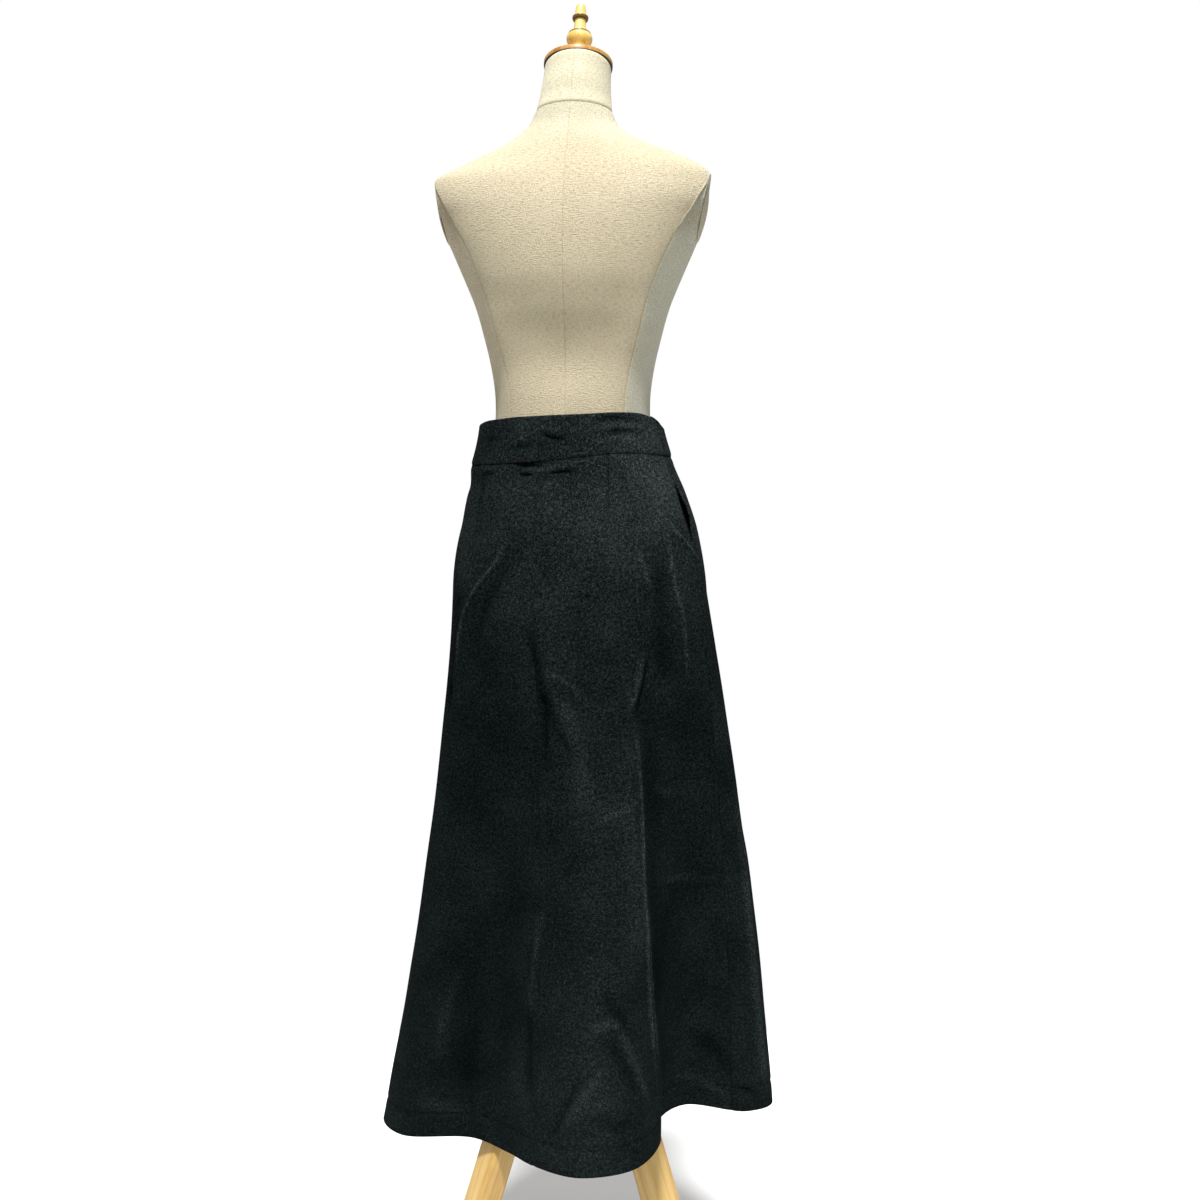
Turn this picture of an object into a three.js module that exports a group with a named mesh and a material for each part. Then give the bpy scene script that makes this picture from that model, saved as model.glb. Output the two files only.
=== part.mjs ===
// Long flared wool skirt worn on a linen dress form with a wooden stand.
// Millimetres, +Z up. The origin is on the floor under the pole, the back of the
// form faces +Y and the wearer's left is +X.
import * as THREE from 'three';

const { lerp, smoothstep, degToRad } = THREE.MathUtils;

// Skirt
const waistSeamHeight = 1105;
const bandHeight = 57;
const bandLeftDip = 0.1; // shares of the height that the band loses at its sides
const bandRightDip = 0.38;
const waistTilt = 0.047; // rise per millimetre towards the wearer's right
const waistBow = 7.5; // how far the waist seam bows up right of the back
const waistBowBearing = -33; // degrees, counted as for the back seam
const waistBowTightness = 5.2;
const hipHeight = 938; // below this the cloth hangs free
const clothWall = 2.4;
const bandWall = 4;
const seamGap = 0.3;
const backSeamBearing = 14; // degrees from straight back towards the wearer's left
const flarePower = 1.04; // above 1 the flare starts softly under the hip
const sway = 10; // how far the middle of the skirt hangs to the wearer's right
const panelRows = 20;
const rowPower = 1.4; // rows lie closer together over the hip
const columnsRound = 72;

// Shares of the girth, counted from the back seam round the wearer's left
const leftSeam = 0.25;
const rightSeam = 0.737;

// Zip behind the back seam, and the facing behind the right pocket slit
const zipLength = 190;
const zipBelowTop = 6; // below the top of the waistband
const zipWidth = 24;
const zipWall = 1.2;
const pocketTop = 26; // below the waist seam
const pocketOpening = 90; // the stretch of the slit that stands open
const pocketGape = 4.5;
const pocketLift = 4;
const pocketFacingAbove = 19; // how far the facing starts above the slit
const pocketFacingWidth = 70;
const pocketFacingLength = 150;
const pocketWall = 1.5;
const stripGap = 0.7; // between a strip and the inside of the cloth it lies on

// How far the outer face of the cloth stands off the form at each height
const standOff = [
  { height: 930, left: 6, right: 24, back: 9, front: 7 },
  { height: 1016, left: 3.2, right: 19, back: 8, front: 3.2 },
  { height: 1068, left: 9.5, right: 19, back: 10, front: 7 },
  { height: 1105, left: 19, right: 17, back: 14, front: 11 },
  { height: 1170, left: 18, right: 13.5, back: 12.5, front: 10 },
];

// Hem: where each fold and hollow reaches, in the order of the girth
const hemFolds = [
  { fold: 'back seam', x: 31, y: 160, height: 232 },
  { fold: 'left flank of the back fold', x: 73, y: 112, height: 229 },
  { fold: 'left back hollow', x: 123, y: 75, height: 231 },
  { fold: 'left fold, back face', x: 224, y: 41, height: 217 },
  { fold: 'left fold', x: 263, y: -28, height: 214 },
  { fold: 'left front hollow', x: 195, y: -110, height: 220 },
  { fold: 'left front fold', x: 132, y: -193, height: 226 },
  { fold: 'front hollow', x: 20, y: -164, height: 231 },
  { fold: 'right front fold', x: -80, y: -203, height: 236 },
  { fold: 'right front hollow', x: -155, y: -143, height: 242 },
  { fold: 'right fold', x: -262, y: -44, height: 249 },
  { fold: 'right fold, back face', x: -228, y: 8, height: 255 },
  { fold: 'right back hollow', x: -150, y: 21, height: 266 },
  { fold: 'right flank of the back fold', x: -118, y: 70, height: 261 },
  { fold: 'right edge of the back fold', x: -123, y: 120, height: 250 },
  { fold: 'back fold, right', x: -96, y: 180, height: 241 },
  { fold: 'back fold', x: -33, y: 203, height: 237 },
];

// Form: half width, depth behind and before the pole, forward nod of each section, and how far
// its widest line lies behind the pole
const formSections = [
  { height: 815, side: 112, back: 80, front: 74, nod: 0, middle: 0 },
  { height: 845, side: 138, back: 102, front: 94, nod: 0, middle: 0 },
  { height: 890, side: 148, back: 113, front: 104, nod: 0, middle: 0 },
  { height: 938, side: 149, back: 115, front: 106, nod: 0, middle: 0 },
  { height: 1016, side: 141, back: 109, front: 102, nod: 0, middle: 0 },
  { height: 1060, side: 127, back: 99, front: 97, nod: 0, middle: 0 },
  { height: 1105, side: 111, back: 89, front: 91, nod: 0, middle: 0 },
  { height: 1150, side: 101, back: 85.5, front: 87, nod: 0, middle: 0 },
  { height: 1185, side: 100, back: 82.5, front: 87, nod: 0, middle: 0 },
  { height: 1224, side: 105, back: 81, front: 91, nod: 0, middle: 0 },
  { height: 1263, side: 114, back: 86.5, front: 98, nod: 0, middle: 0 },
  { height: 1302, side: 125, back: 96.5, front: 110, nod: 0, middle: 0 },
  { height: 1341, side: 141, back: 105, front: 126, nod: 0, middle: 0 },
  { height: 1380, side: 158, back: 106, front: 134, nod: 0, middle: 0 },
  { height: 1412, side: 172, back: 102, front: 129, nod: 0, middle: 0 },
  { height: 1436, side: 183, back: 95.5, front: 112, nod: 0, middle: 0 },
  { height: 1455, side: 182, back: 87.5, front: 95, nod: 0, middle: 0 },
  { height: 1471, side: 172, back: 78.5, front: 84, nod: 0, middle: 0 },
  { height: 1489, side: 134, back: 65.5, front: 74, nod: 2, middle: -1 },
  { height: 1508, side: 90, back: 52, front: 68, nod: 4, middle: -6 },
  { height: 1527, side: 62, back: 38, front: 65, nod: 7, middle: -12 },
  { height: 1549, side: 49.5, back: 28, front: 64, nod: 10, middle: -18 },
];
const formSides = 40;

// Flat armhole faces: their lower and upper edges
const armholeLow = { height: 1380, side: 158.5 };
const armholeHigh = { height: 1455, side: 174 };
const shoulderTilt = 0.03; // rise per millimetre towards the wearer's right
const tiltFrom = { low: 1455, high: 1485 };
const tiltTo = { low: 1505, high: 1535 };
const plateWidth = 64;
const plateHeight = 76;
const plateEdge = 0.8; // the plates are padded, so they swell from a thin edge
const plateSwell = 4;

// Neck piece between the form and the wooden cap
const neckSections = [
  { height: 1549.4, side: 49.5, back: 28, front: 64, nod: 10, middle: -18 },
  { height: 1563, side: 47, back: 23, front: 68, nod: 12, middle: -22.5 },
  { height: 1579, side: 45, back: 19, front: 72, nod: 15, middle: -26.5 },
  { height: 1595, side: 43.5, back: 13, front: 76, nod: 18, middle: -31.5 },
  { height: 1611, side: 43, back: 8, front: 80, nod: 20, middle: -36 },
];
const neckSides = 28;
const neckLean = 0.05; // towards the wearer's right, per millimetre above the neck's base
const capRadius = 44.5;
const capRim = 7.5;
const capCrown = 14;
const crownRadius = 14;
const turnedSides = 24;

// Finial: the turned profile, as radius and height above the cap
const finialProfile = [
  { radius: 13, height: 0 },
  { radius: 13, height: 5 },
  { radius: 10, height: 9 },
  { radius: 10, height: 14 },
  { radius: 14.5, height: 20 },
  { radius: 16.5, height: 26 },
  { radius: 16.5, height: 31 },
  { radius: 15, height: 35 },
  { radius: 8.7, height: 37.5 },
  { radius: 7.3, height: 55.5 },
  { radius: 10.5, height: 56.5 },
  { radius: 10.5, height: 60.5 },
  { radius: 7.3, height: 62 },
  { radius: 5.9, height: 76 },
  { radius: 4, height: 77.5 },
];

// Stand
const boardThickness = 15;
const boardSide = 104;
const boardBack = 74;
const poleRadius = 16;
const hubRadius = 72;
const hubHeight = 42;
const legTop = 390;
const legRadial = 35;
const legAcross = 46;
const legChamfer = 5;
const legSlope = 0.36;
const footReach = 190;
const legBearings = { leg_left: 53, leg_right: -63, leg_front_left: 122, leg_front_right: -141 };

// Looks
const wool = { color: 0x17191a, roughness: 0.95, metalness: 0 };
const linen = { color: 0xcabfa6, roughness: 0.9, metalness: 0 };
const wood = { color: 0xc99a55, roughness: 0.55, metalness: 0 };
const tape = { color: 0x101112, roughness: 0.8, metalness: 0 };

const part = new THREE.Group();

function addPiece(name, geometry, look) {
  const piece = new THREE.Mesh(geometry, new THREE.MeshStandardMaterial(look));
  piece.name = name;
  part.add(piece);
  return piece;
}

// A smooth curve through the rows of a table of sections
function sectionCurve(table) {
  const columns = Object.keys(table[0]).filter((column) => column !== 'height');
  const heights = table.map((row) => row.height);
  const values = table.flatMap((row) => columns.map((column) => row[column]));
  const curve = new THREE.CubicInterpolant(heights, values, columns.length);
  return (height) => {
    const result = curve.evaluate(height);
    return Object.fromEntries(columns.map((column, k) => [column, result[k]]));
  };
}

const formAt = sectionCurve(formSections);
const neckAt = sectionCurve(neckSections);

// Stand-off at a height, level at every row so that it never dips below its rows
function standOffAt(height) {
  let k = 0;
  while (k < standOff.length - 2 && height > standOff[k + 1].height) k += 1;
  const low = standOff[k];
  const high = standOff[k + 1];
  const share = smoothstep(height, low.height, high.height);
  const mix = (column) => lerp(low[column], high[column], share);
  return { left: mix('left'), right: mix('right'), back: mix('back'), front: mix('front') };
}

// A point of the cloth where it follows the form; turn runs from the back to the left
function seatPoint(turn, height) {
  const form = formAt(height);
  const off = standOffAt(height);
  const sideways = Math.sin(turn);
  const backwards = Math.cos(turn);
  const x = (form.side + (sideways > 0 ? off.left : off.right)) * sideways;
  const depth = backwards > 0 ? form.back + off.back : form.front + off.front;
  return new THREE.Vector3(x, depth * backwards, height);
}

const hemCurve = new THREE.CatmullRomCurve3(
  hemFolds.map((row) => new THREE.Vector3(row.x, row.y, row.height)),
  true,
);

// The bearing at each share of the girth, measured along the hip line
const girthSteps = 720;
const hipLengths = [0];
for (let k = 1; k <= girthSteps; k += 1) {
  const before = seatPoint(degToRad(backSeamBearing) + (2 * Math.PI * (k - 1)) / girthSteps, hipHeight);
  const here = seatPoint(degToRad(backSeamBearing) + (2 * Math.PI * k) / girthSteps, hipHeight);
  hipLengths.push(hipLengths[k - 1] + here.distanceTo(before));
}

function bearingAt(girth) {
  const length = THREE.MathUtils.euclideanModulo(girth, 1) * hipLengths[girthSteps];
  let k = 1;
  while (hipLengths[k] < length) k += 1;
  const share = (length - hipLengths[k - 1]) / (hipLengths[k] - hipLengths[k - 1]);
  return degToRad(backSeamBearing) + (2 * Math.PI * (k - 1 + share)) / girthSteps;
}

function seamBow(turn) {
  const away = 1 - Math.cos(turn - degToRad(waistBowBearing));
  return waistBow * Math.exp(-waistBowTightness * away);
}

// The waist seam is tilted and bowed, so its height follows the side it is on
function seamHeight(turn) {
  const tilt = waistTilt * formAt(waistSeamHeight).side * Math.sin(turn);
  return waistSeamHeight - tilt + seamBow(turn);
}

// Outer face of the skirt at a share of the girth and of the fall from seam to hem
function skirtPoint(girth, fall) {
  const turn = bearingAt(girth);
  const hem = hemCurve.getPointAt(THREE.MathUtils.euclideanModulo(girth, 1));
  const height = lerp(seamHeight(turn), hem.z, fall);
  const hang = Math.max(0, (hipHeight - height) / (hipHeight - hem.z));
  const flare = hang ** flarePower;
  const seat = seatPoint(turn, Math.max(height, hipHeight));
  const x = lerp(seat.x, hem.x, flare) - sway * 4 * flare * (1 - flare);
  return new THREE.Vector3(x, lerp(seat.y, hem.y, flare), height);
}

// Outer face of the waistband, from its top edge down to the seam
function bandPoint(girth, fall) {
  const turn = bearingAt(girth);
  const sideways = Math.sin(turn);
  const dip = sideways > 0 ? bandLeftDip * sideways ** 8 : bandRightDip * sideways ** 12;
  const height = bandHeight * (1 - dip) - seamBow(turn);
  return seatPoint(turn, seamHeight(turn) + height * (1 - fall));
}

// Outward normal and the length of a whole turn of girth, by small differences
function outward(surface, girth, fall) {
  const step = 1e-4;
  const across = surface(girth + step, fall).sub(surface(girth - step, fall));
  const down = surface(girth, fall + step).sub(surface(girth, fall - step));
  return { normal: across.clone().cross(down).normalize(), reach: across.length() / (2 * step) };
}

// A closed wall between two grids of points; seen from outside, rows run down and columns to the left
function wallGeometry(outer, inner) {
  const rows = outer.length;
  const columns = outer[0].length;
  const points = [...outer.flat(), ...inner.flat()];
  const front = (i, j) => i * columns + j;
  const back = (i, j) => rows * columns + i * columns + j;
  const faces = [];
  const quad = (a, b, c, d) => faces.push(a, b, c, a, c, d);
  for (let i = 0; i < rows - 1; i += 1) {
    for (let j = 0; j < columns - 1; j += 1) {
      quad(front(i, j), front(i, j + 1), front(i + 1, j + 1), front(i + 1, j));
      quad(back(i, j), back(i + 1, j), back(i + 1, j + 1), back(i, j + 1));
    }
    quad(front(i, 0), front(i + 1, 0), back(i + 1, 0), back(i, 0));
    quad(front(i + 1, columns - 1), front(i, columns - 1), back(i, columns - 1), back(i + 1, columns - 1));
  }
  for (let j = 0; j < columns - 1; j += 1) {
    quad(front(0, j + 1), front(0, j), back(0, j), back(0, j + 1));
    quad(front(rows - 1, j), front(rows - 1, j + 1), back(rows - 1, j + 1), back(rows - 1, j));
  }
  return new THREE.BufferGeometry().setFromPoints(points).setIndex(faces);
}

// Share of the pocket slit's gape at a depth below the waist seam
function gapeAt(depth) {
  const along = (depth - pocketTop) / pocketOpening;
  return along > 0 && along < 1 ? Math.sin(Math.PI * along) ** 2 : 0;
}

// A panel between two shares of the girth, with half a seam gap left along each edge
function skirtPanel(from, to) {
  const columns = Math.round((to - from) * columnsRound);
  const outer = [];
  const inner = [];
  for (let i = 0; i <= panelRows; i += 1) {
    const fall = (i / panelRows) ** rowPower;
    const slit = gapeAt(fall * (waistSeamHeight - hemFolds[0].height));
    outer.push([]);
    inner.push([]);
    for (let j = 0; j <= columns; j += 1) {
      let girth = lerp(from, to, j / columns);
      const { reach } = outward(skirtPoint, girth, fall);
      const half = seamGap / 2 / reach;
      const gape = (pocketGape / 2) * (slit / reach);
      if (j === 0) girth += half + (from === rightSeam ? gape : 0);
      if (j === columns) girth -= half + (to === rightSeam ? gape : 0);
      const onSlit = to === rightSeam && j === columns;
      const point = skirtPoint(girth, fall);
      const { normal } = outward(skirtPoint, girth, fall);
      if (i === 0) point.z -= seamGap / 2;
      if (onSlit) point.addScaledVector(normal, pocketLift * slit);
      outer[i].push(point);
      inner[i].push(point.clone().addScaledVector(normal, -clothWall));
    }
  }
  return wallGeometry(outer, inner);
}

function bandPiece(from, to) {
  const columns = Math.round((to - from) * columnsRound);
  const bandRows = 3;
  const outer = [];
  const inner = [];
  for (let i = 0; i <= bandRows; i += 1) {
    const fall = i / bandRows;
    outer.push([]);
    inner.push([]);
    for (let j = 0; j <= columns; j += 1) {
      let girth = lerp(from, to, j / columns);
      const half = seamGap / 2 / outward(bandPoint, girth, fall).reach;
      if (j === 0) girth += half;
      if (j === columns) girth -= half;
      const point = bandPoint(girth, fall);
      const { normal } = outward(bandPoint, girth, fall);
      normal.setZ(0).normalize();
      if (i === bandRows) point.z += seamGap / 2;
      outer[i].push(point);
      inner[i].push(point.clone().addScaledVector(normal, -bandWall));
    }
  }
  return wallGeometry(outer, inner);
}

// A strip on the inside of the skirt, a seam gap clear of what it lies on
function liningStrip(middle, width, topDepth, length, cover, wall) {
  const rows = 8;
  const columns = 6;
  const fallLength = waistSeamHeight - hemFolds[0].height;
  const outer = [];
  const inner = [];
  for (let i = 0; i <= rows; i += 1) {
    const depth = topDepth + (length * i) / rows;
    outer.push([]);
    inner.push([]);
    for (let j = 0; j <= columns; j += 1) {
      const surface = depth < 0 ? bandPoint : skirtPoint;
      const fall = depth < 0 ? 1 + depth / bandHeight : depth / fallLength;
      const { reach } = outward(surface, middle, fall);
      const girth = middle + (width / reach) * (j / columns - 0.5);
      const { normal } = outward(surface, girth, fall);
      const point = surface(girth, fall).addScaledVector(normal, -(cover + stripGap));
      outer[i].push(point);
      inner[i].push(point.clone().addScaledVector(normal, -wall));
    }
  }
  return wallGeometry(outer, inner);
}

addPiece('skirt_back_left', skirtPanel(0, leftSeam), wool);
addPiece('skirt_front', skirtPanel(leftSeam, rightSeam), wool);
addPiece('skirt_back_right', skirtPanel(rightSeam, 1), wool);
addPiece('waistband_back_left', bandPiece(0, leftSeam), wool);
addPiece('waistband_front', bandPiece(leftSeam, rightSeam), wool);
addPiece('waistband_back_right', bandPiece(rightSeam, 1), wool);
addPiece('back_zip', liningStrip(0, zipWidth, zipBelowTop - bandHeight, zipLength, bandWall, zipWall), tape);
addPiece(
  'pocket_right',
  liningStrip(
    rightSeam,
    pocketFacingWidth,
    pocketTop - pocketFacingAbove,
    pocketFacingLength,
    clothWall,
    pocketWall,
  ),
  wool,
);

// A closed solid through level rings that run up, each nodding forward about its own middle
function ringSolid(sectionAt, heights, sides, shape) {
  const points = [];
  const middles = [];
  for (const height of heights) {
    const section = sectionAt(height);
    const nod = Math.tan(degToRad(section.nod));
    const { side, back, front, middle } = section;
    middles.push(shape(new THREE.Vector3(0, middle, height)));
    for (let k = 0; k < sides; k += 1) {
      const turn = (2 * Math.PI * k) / sides;
      const depth = Math.cos(turn) > 0 ? back - middle : front + middle;
      const behind = depth * Math.cos(turn);
      const point = new THREE.Vector3(side * Math.sin(turn), middle + behind, height + behind * nod);
      points.push(shape(point));
    }
  }
  const faces = [];
  const at = (i, k) => i * sides + (k % sides);
  for (let i = 0; i < heights.length - 1; i += 1) {
    for (let k = 0; k < sides; k += 1) {
      faces.push(at(i + 1, k), at(i + 1, k + 1), at(i, k + 1), at(i + 1, k), at(i, k + 1), at(i, k));
    }
  }
  const bottom = points.push(middles[0]) - 1;
  const top = points.push(middles[heights.length - 1]) - 1;
  for (let k = 0; k < sides; k += 1) {
    faces.push(bottom, at(0, k), at(0, k + 1), top, at(heights.length - 1, k + 1), at(heights.length - 1, k));
  }
  return new THREE.BufferGeometry().setFromPoints(points).setIndex(faces);
}

// The sides of the form are cut flat where the arms would join, and the shoulders are a little uneven
const armholeSlope = (armholeHigh.side - armholeLow.side) / (armholeHigh.height - armholeLow.height);

function shapeShoulders(point) {
  const limit = armholeLow.side + armholeSlope * (point.z - armholeLow.height);
  if (point.z > armholeLow.height && point.z <= armholeHigh.height) {
    point.x = THREE.MathUtils.clamp(point.x, -limit, limit);
  }
  const onShoulder = smoothstep(point.z, tiltFrom.low, tiltFrom.high);
  const belowNeck = 1 - smoothstep(point.z, tiltTo.low, tiltTo.high);
  point.z -= shoulderTilt * point.x * onShoulder * belowNeck;
  return point;
}

addPiece(
  'form_body',
  ringSolid(formAt, formSections.map((row) => row.height), formSides, shapeShoulders),
  linen,
);

function leanNeck(point) {
  point.x -= neckLean * (point.z - neckSections[0].height);
  return point;
}

addPiece(
  'form_neck',
  ringSolid(neckAt, neckSections.map((row) => row.height), neckSides, leanNeck),
  linen,
);

// A solid turned about Z from its profile, closed on the axis
function turned(profile) {
  const outline = profile.map((row) => new THREE.Vector2(row.radius, row.height));
  outline.unshift(new THREE.Vector2(0, profile[0].height));
  outline.push(new THREE.Vector2(0, profile[profile.length - 1].height));
  return new THREE.LatheGeometry(outline, turnedSides).rotateX(Math.PI / 2);
}

// Padded plates on the armhole faces
const plateProfile = [{ radius: 1, height: 0 }];
for (let k = 0; k <= 6; k += 1) {
  const angle = (Math.PI / 2) * (k / 7);
  plateProfile.push({ radius: Math.cos(angle), height: plateEdge + plateSwell * Math.sin(angle) ** 2 });
}
for (const [name, side] of [['armhole_plate_left', 1], ['armhole_plate_right', -1]]) {
  const plate = turned(plateProfile).scale(plateWidth / 2, plateHeight / 2, 1);
  const lean = Math.atan(armholeSlope);
  plate.translate(0, 0, seamGap);
  plate.rotateY(Math.PI / 2);
  plate.rotateX(Math.PI / 2);
  plate.rotateY(lean);
  plate.translate(
    (armholeLow.side + armholeHigh.side) / 2,
    0,
    (armholeLow.height + armholeHigh.height) / 2,
  );
  if (side < 0) plate.rotateZ(Math.PI);
  addPiece(name, plate, linen);
}

// Turned wood on the axis of the nodding neck
const neckTop = neckSections[neckSections.length - 1];
const neckAxis = new THREE.Group();
neckAxis.position.copy(leanNeck(new THREE.Vector3(0, neckTop.middle, neckTop.height)));
neckAxis.rotation.x = degToRad(neckTop.nod);
part.add(neckAxis);
const cap = turned([
  { radius: capRadius - 1, height: 0 },
  { radius: capRadius, height: 1 },
  { radius: capRadius, height: capRim - 1 },
  { radius: capRadius - 1, height: capRim },
  { radius: crownRadius, height: capCrown },
]);
neckAxis.add(addPiece('neck_cap', cap.translate(0, 0, seamGap), wood));
const finial = turned(finialProfile).translate(0, 0, capCrown + 2 * seamGap);
neckAxis.add(addPiece('finial', finial, wood));

// Stand under the form: board, pole, hub and four splayed legs with level feet
const boardShape = new THREE.Shape().absellipse(0, 0, boardSide, boardBack, 0, 2 * Math.PI);
const board = new THREE.ExtrudeGeometry(boardShape, {
  depth: boardThickness,
  bevelEnabled: false,
  curveSegments: 16,
});
const boardBottom = formSections[0].height - seamGap - boardThickness;
addPiece('base_board', board.translate(0, 0, boardBottom), wood);

function postBetween(radius, low, high) {
  const post = new THREE.CylinderGeometry(radius, radius, high - low, turnedSides);
  return post.rotateX(Math.PI / 2).translate(0, 0, (low + high) / 2);
}

const hubTop = legTop + seamGap + hubHeight;
addPiece('pole', postBetween(poleRadius, hubTop + seamGap, boardBottom - seamGap), wood);
addPiece('hub', postBetween(hubRadius, legTop + seamGap, hubTop), wood);

const legX = legRadial / 2;
const legY = legAcross / 2;
const legShape = new THREE.Shape([
  new THREE.Vector2(legX, legY - legChamfer),
  new THREE.Vector2(legX - legChamfer, legY),
  new THREE.Vector2(legChamfer - legX, legY),
  new THREE.Vector2(-legX, legY - legChamfer),
  new THREE.Vector2(-legX, legChamfer - legY),
  new THREE.Vector2(legChamfer - legX, -legY),
  new THREE.Vector2(legX - legChamfer, -legY),
  new THREE.Vector2(legX, legChamfer - legY),
]);
for (const [name, bearing] of Object.entries(legBearings)) {
  const leg = new THREE.ExtrudeGeometry(legShape, { depth: legTop, bevelEnabled: false });
  leg.applyMatrix4(new THREE.Matrix4().makeShear(0, 0, 0, 0, -legSlope, 0));
  leg.translate(footReach, 0, 0);
  leg.rotateZ(degToRad(90 - bearing));
  addPiece(name, leg, wood);
}

export default part;
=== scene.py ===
import math

import bmesh
import bpy
import numpy as np
from mathutils import Matrix, Vector, noise


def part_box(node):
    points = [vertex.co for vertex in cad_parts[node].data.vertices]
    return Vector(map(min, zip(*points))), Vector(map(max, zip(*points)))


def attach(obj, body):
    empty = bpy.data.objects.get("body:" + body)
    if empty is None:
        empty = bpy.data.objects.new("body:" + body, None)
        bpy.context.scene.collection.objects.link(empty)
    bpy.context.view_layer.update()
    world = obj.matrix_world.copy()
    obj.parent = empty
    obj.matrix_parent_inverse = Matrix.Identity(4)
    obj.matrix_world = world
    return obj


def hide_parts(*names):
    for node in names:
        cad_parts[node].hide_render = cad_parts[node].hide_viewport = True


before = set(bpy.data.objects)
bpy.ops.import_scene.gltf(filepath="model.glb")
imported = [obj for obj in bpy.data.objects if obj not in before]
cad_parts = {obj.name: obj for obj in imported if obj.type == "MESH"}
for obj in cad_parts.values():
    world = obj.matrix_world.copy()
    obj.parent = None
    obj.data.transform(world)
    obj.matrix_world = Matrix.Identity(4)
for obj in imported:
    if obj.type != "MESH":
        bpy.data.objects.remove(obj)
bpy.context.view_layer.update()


# Four splayed legs of pale pine, sawn square with the corners planed off.
# Their tops are glued and screwed up into the hub, and the feet are cut level with the floor.
leg_radial = 0.035
leg_across = 0.046
leg_corner = 0.005
leg_slope = 0.36
foot_reach = 0.190
leg_bearings = {"left": 53, "right": -63, "front_left": 122, "front_right": -141}
worn_edge = 0.0012
grain_draw = 0.045
# brown and near black for darkened wood: painted shade and shadow on the neck cap, dark lines on the finial
toasted = (0.60, 0.40, 0.25)
charred = (0.03, 0.02, 0.015)
smooth_angle = math.radians(38)


def node(material, kind, inputs=(), **settings):
    """Adds a shader node; each input is a value or another node's output."""
    made = material.node_tree.nodes.new("ShaderNode" + kind)
    for name, value in settings.items():
        setattr(made, name, value)
    for name, value in dict(inputs).items():
        if isinstance(value, bpy.types.NodeSocket):
            material.node_tree.links.new(value, made.inputs[name])
        else:
            made.inputs[name].default_value = value
    return made


def noted(material, name):
    """Reads a number that the piece keeps at each point."""
    return node(material, "Attribute", attribute_name=name).outputs["Fac"]


def drawn_out(material, spot, *scale):
    """A place on the piece, with what lies on it drawn out where the scale is small."""
    return node(material, "Mapping", {"Vector": spot, "Scale": scale}).outputs[0]


def speckle(material, spot, **sockets):
    """Soft noise over the piece."""
    return node(material, "TexNoise", {"Vector": spot, **sockets}).outputs[0]


def reckon(material, operation, *terms):
    """One step of arithmetic on outputs and numbers."""
    return node(material, "Math", dict(enumerate(terms)), operation=operation).outputs[0]


def weigh(material, *parts):
    """Adds up (output, weight) parts."""
    total = 0.0
    for part, weight in parts:
        total = reckon(material, "MULTIPLY_ADD", part, weight, total)
    return total


def mix(material, share, first, second, blend="MIX"):
    """Two colours mixed by a share."""
    colours = {0: share, 6: first, 7: second}
    return node(material, "Mix", colours, data_type="RGBA", blend_type=blend).outputs[2]


def tint(material, colour, *tones):
    """A colour multiplied by each tone in turn."""
    for tone in tones:
        colour = mix(material, 1.0, colour, tone, "MULTIPLY")
    return colour


def ramp(material, factor, *stops):
    """A colour ramp through (place, colour) stops, where one number stands for a grey."""
    made = node(material, "ValToRGB", {"Fac": factor})
    points = made.color_ramp.elements
    while len(points) < len(stops):
        points.new(0.5)
    for point, (position, colour) in zip(points, stops):
        point.position = position
        point.color = (*np.broadcast_to(colour, 3), 1)
    return made.outputs["Color"]


def relief(material, height, strength, distance):
    """The surface's normals, roughened by a height."""
    return node(material, "Bump", {"Height": height, "Strength": strength, "Distance": distance}).outputs[0]


def finish_of(name, **constants):
    """A new material and its shader, with what is the same all over set on the shader's sockets."""
    material = bpy.data.materials.new(name)
    material.use_nodes = True
    shader = material.node_tree.nodes["Principled BSDF"]
    for socket, value in constants.items():
        shader.inputs[socket.replace("_", " ")].default_value = value
    return material, shader


def feed(material, shader, **sources):
    """Links node outputs to the shader's sockets."""
    for socket, source in sources.items():
        material.node_tree.links.new(source, shader.inputs[socket.replace("_", " ")])


def wood(name, pale, mid, dark, **gloss):
    """Wood whose grain runs along the upright piece, browner to near black where it is darkened: painted
    shade and shadow on the cap, dark lines on the finial.
    """
    material, shader = finish_of(name, **gloss)
    upright = node(material, "Attribute", attribute_name="grain").outputs["Vector"]
    grain = drawn_out(material, upright, 1, 1, grain_draw)
    growth = speckle(material, grain, Scale=95, Detail=4, Roughness=0.55, Distortion=0.9)
    fibres = speckle(material, grain, Scale=900, Detail=3)
    cloudy = speckle(material, upright, Scale=14, Detail=2)
    tone = weigh(material, (growth, 0.62), (fibres, 0.24), (cloudy, 0.16))
    grained = ramp(material, tone, (0.36, dark), (0.50, mid), (0.64, pale))
    burnt = ramp(material, noted(material, "burnt"), (0.0, 1.0), (0.55, toasted), (1.0, charred))
    rough = ramp(material, fibres, (0.3, 0.40), (0.7, 0.56))
    bumps = relief(material, tone, 0.22, 0.0006)
    feed(material, shader, Base_Color=tint(material, grained, burnt), Roughness=rough, Normal=bumps)
    return material


def keep_grain(bm):
    """Remembers each point's place in the upright piece, for the wood to follow."""
    layer = bm.verts.layers.float_vector.new("grain")
    for vert in bm.verts:
        vert[layer] = vert.co


def add_piece(bm, name, material, slot, *nodes):
    """Makes the finished bmesh a smooth-shaded piece that rides on the one rigid body."""
    mesh = bpy.data.meshes.new(name)
    bm.to_mesh(mesh)
    bm.free()
    mesh.polygons.foreach_set("use_smooth", [True] * len(mesh.polygons))
    mesh.set_sharp_from_angle(angle=smooth_angle)
    mesh.materials.append(material)
    piece = bpy.data.objects.new(name, mesh)
    bpy.context.scene.collection.objects.link(piece)
    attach(piece, "root")
    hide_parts(*nodes)
    return piece


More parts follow.
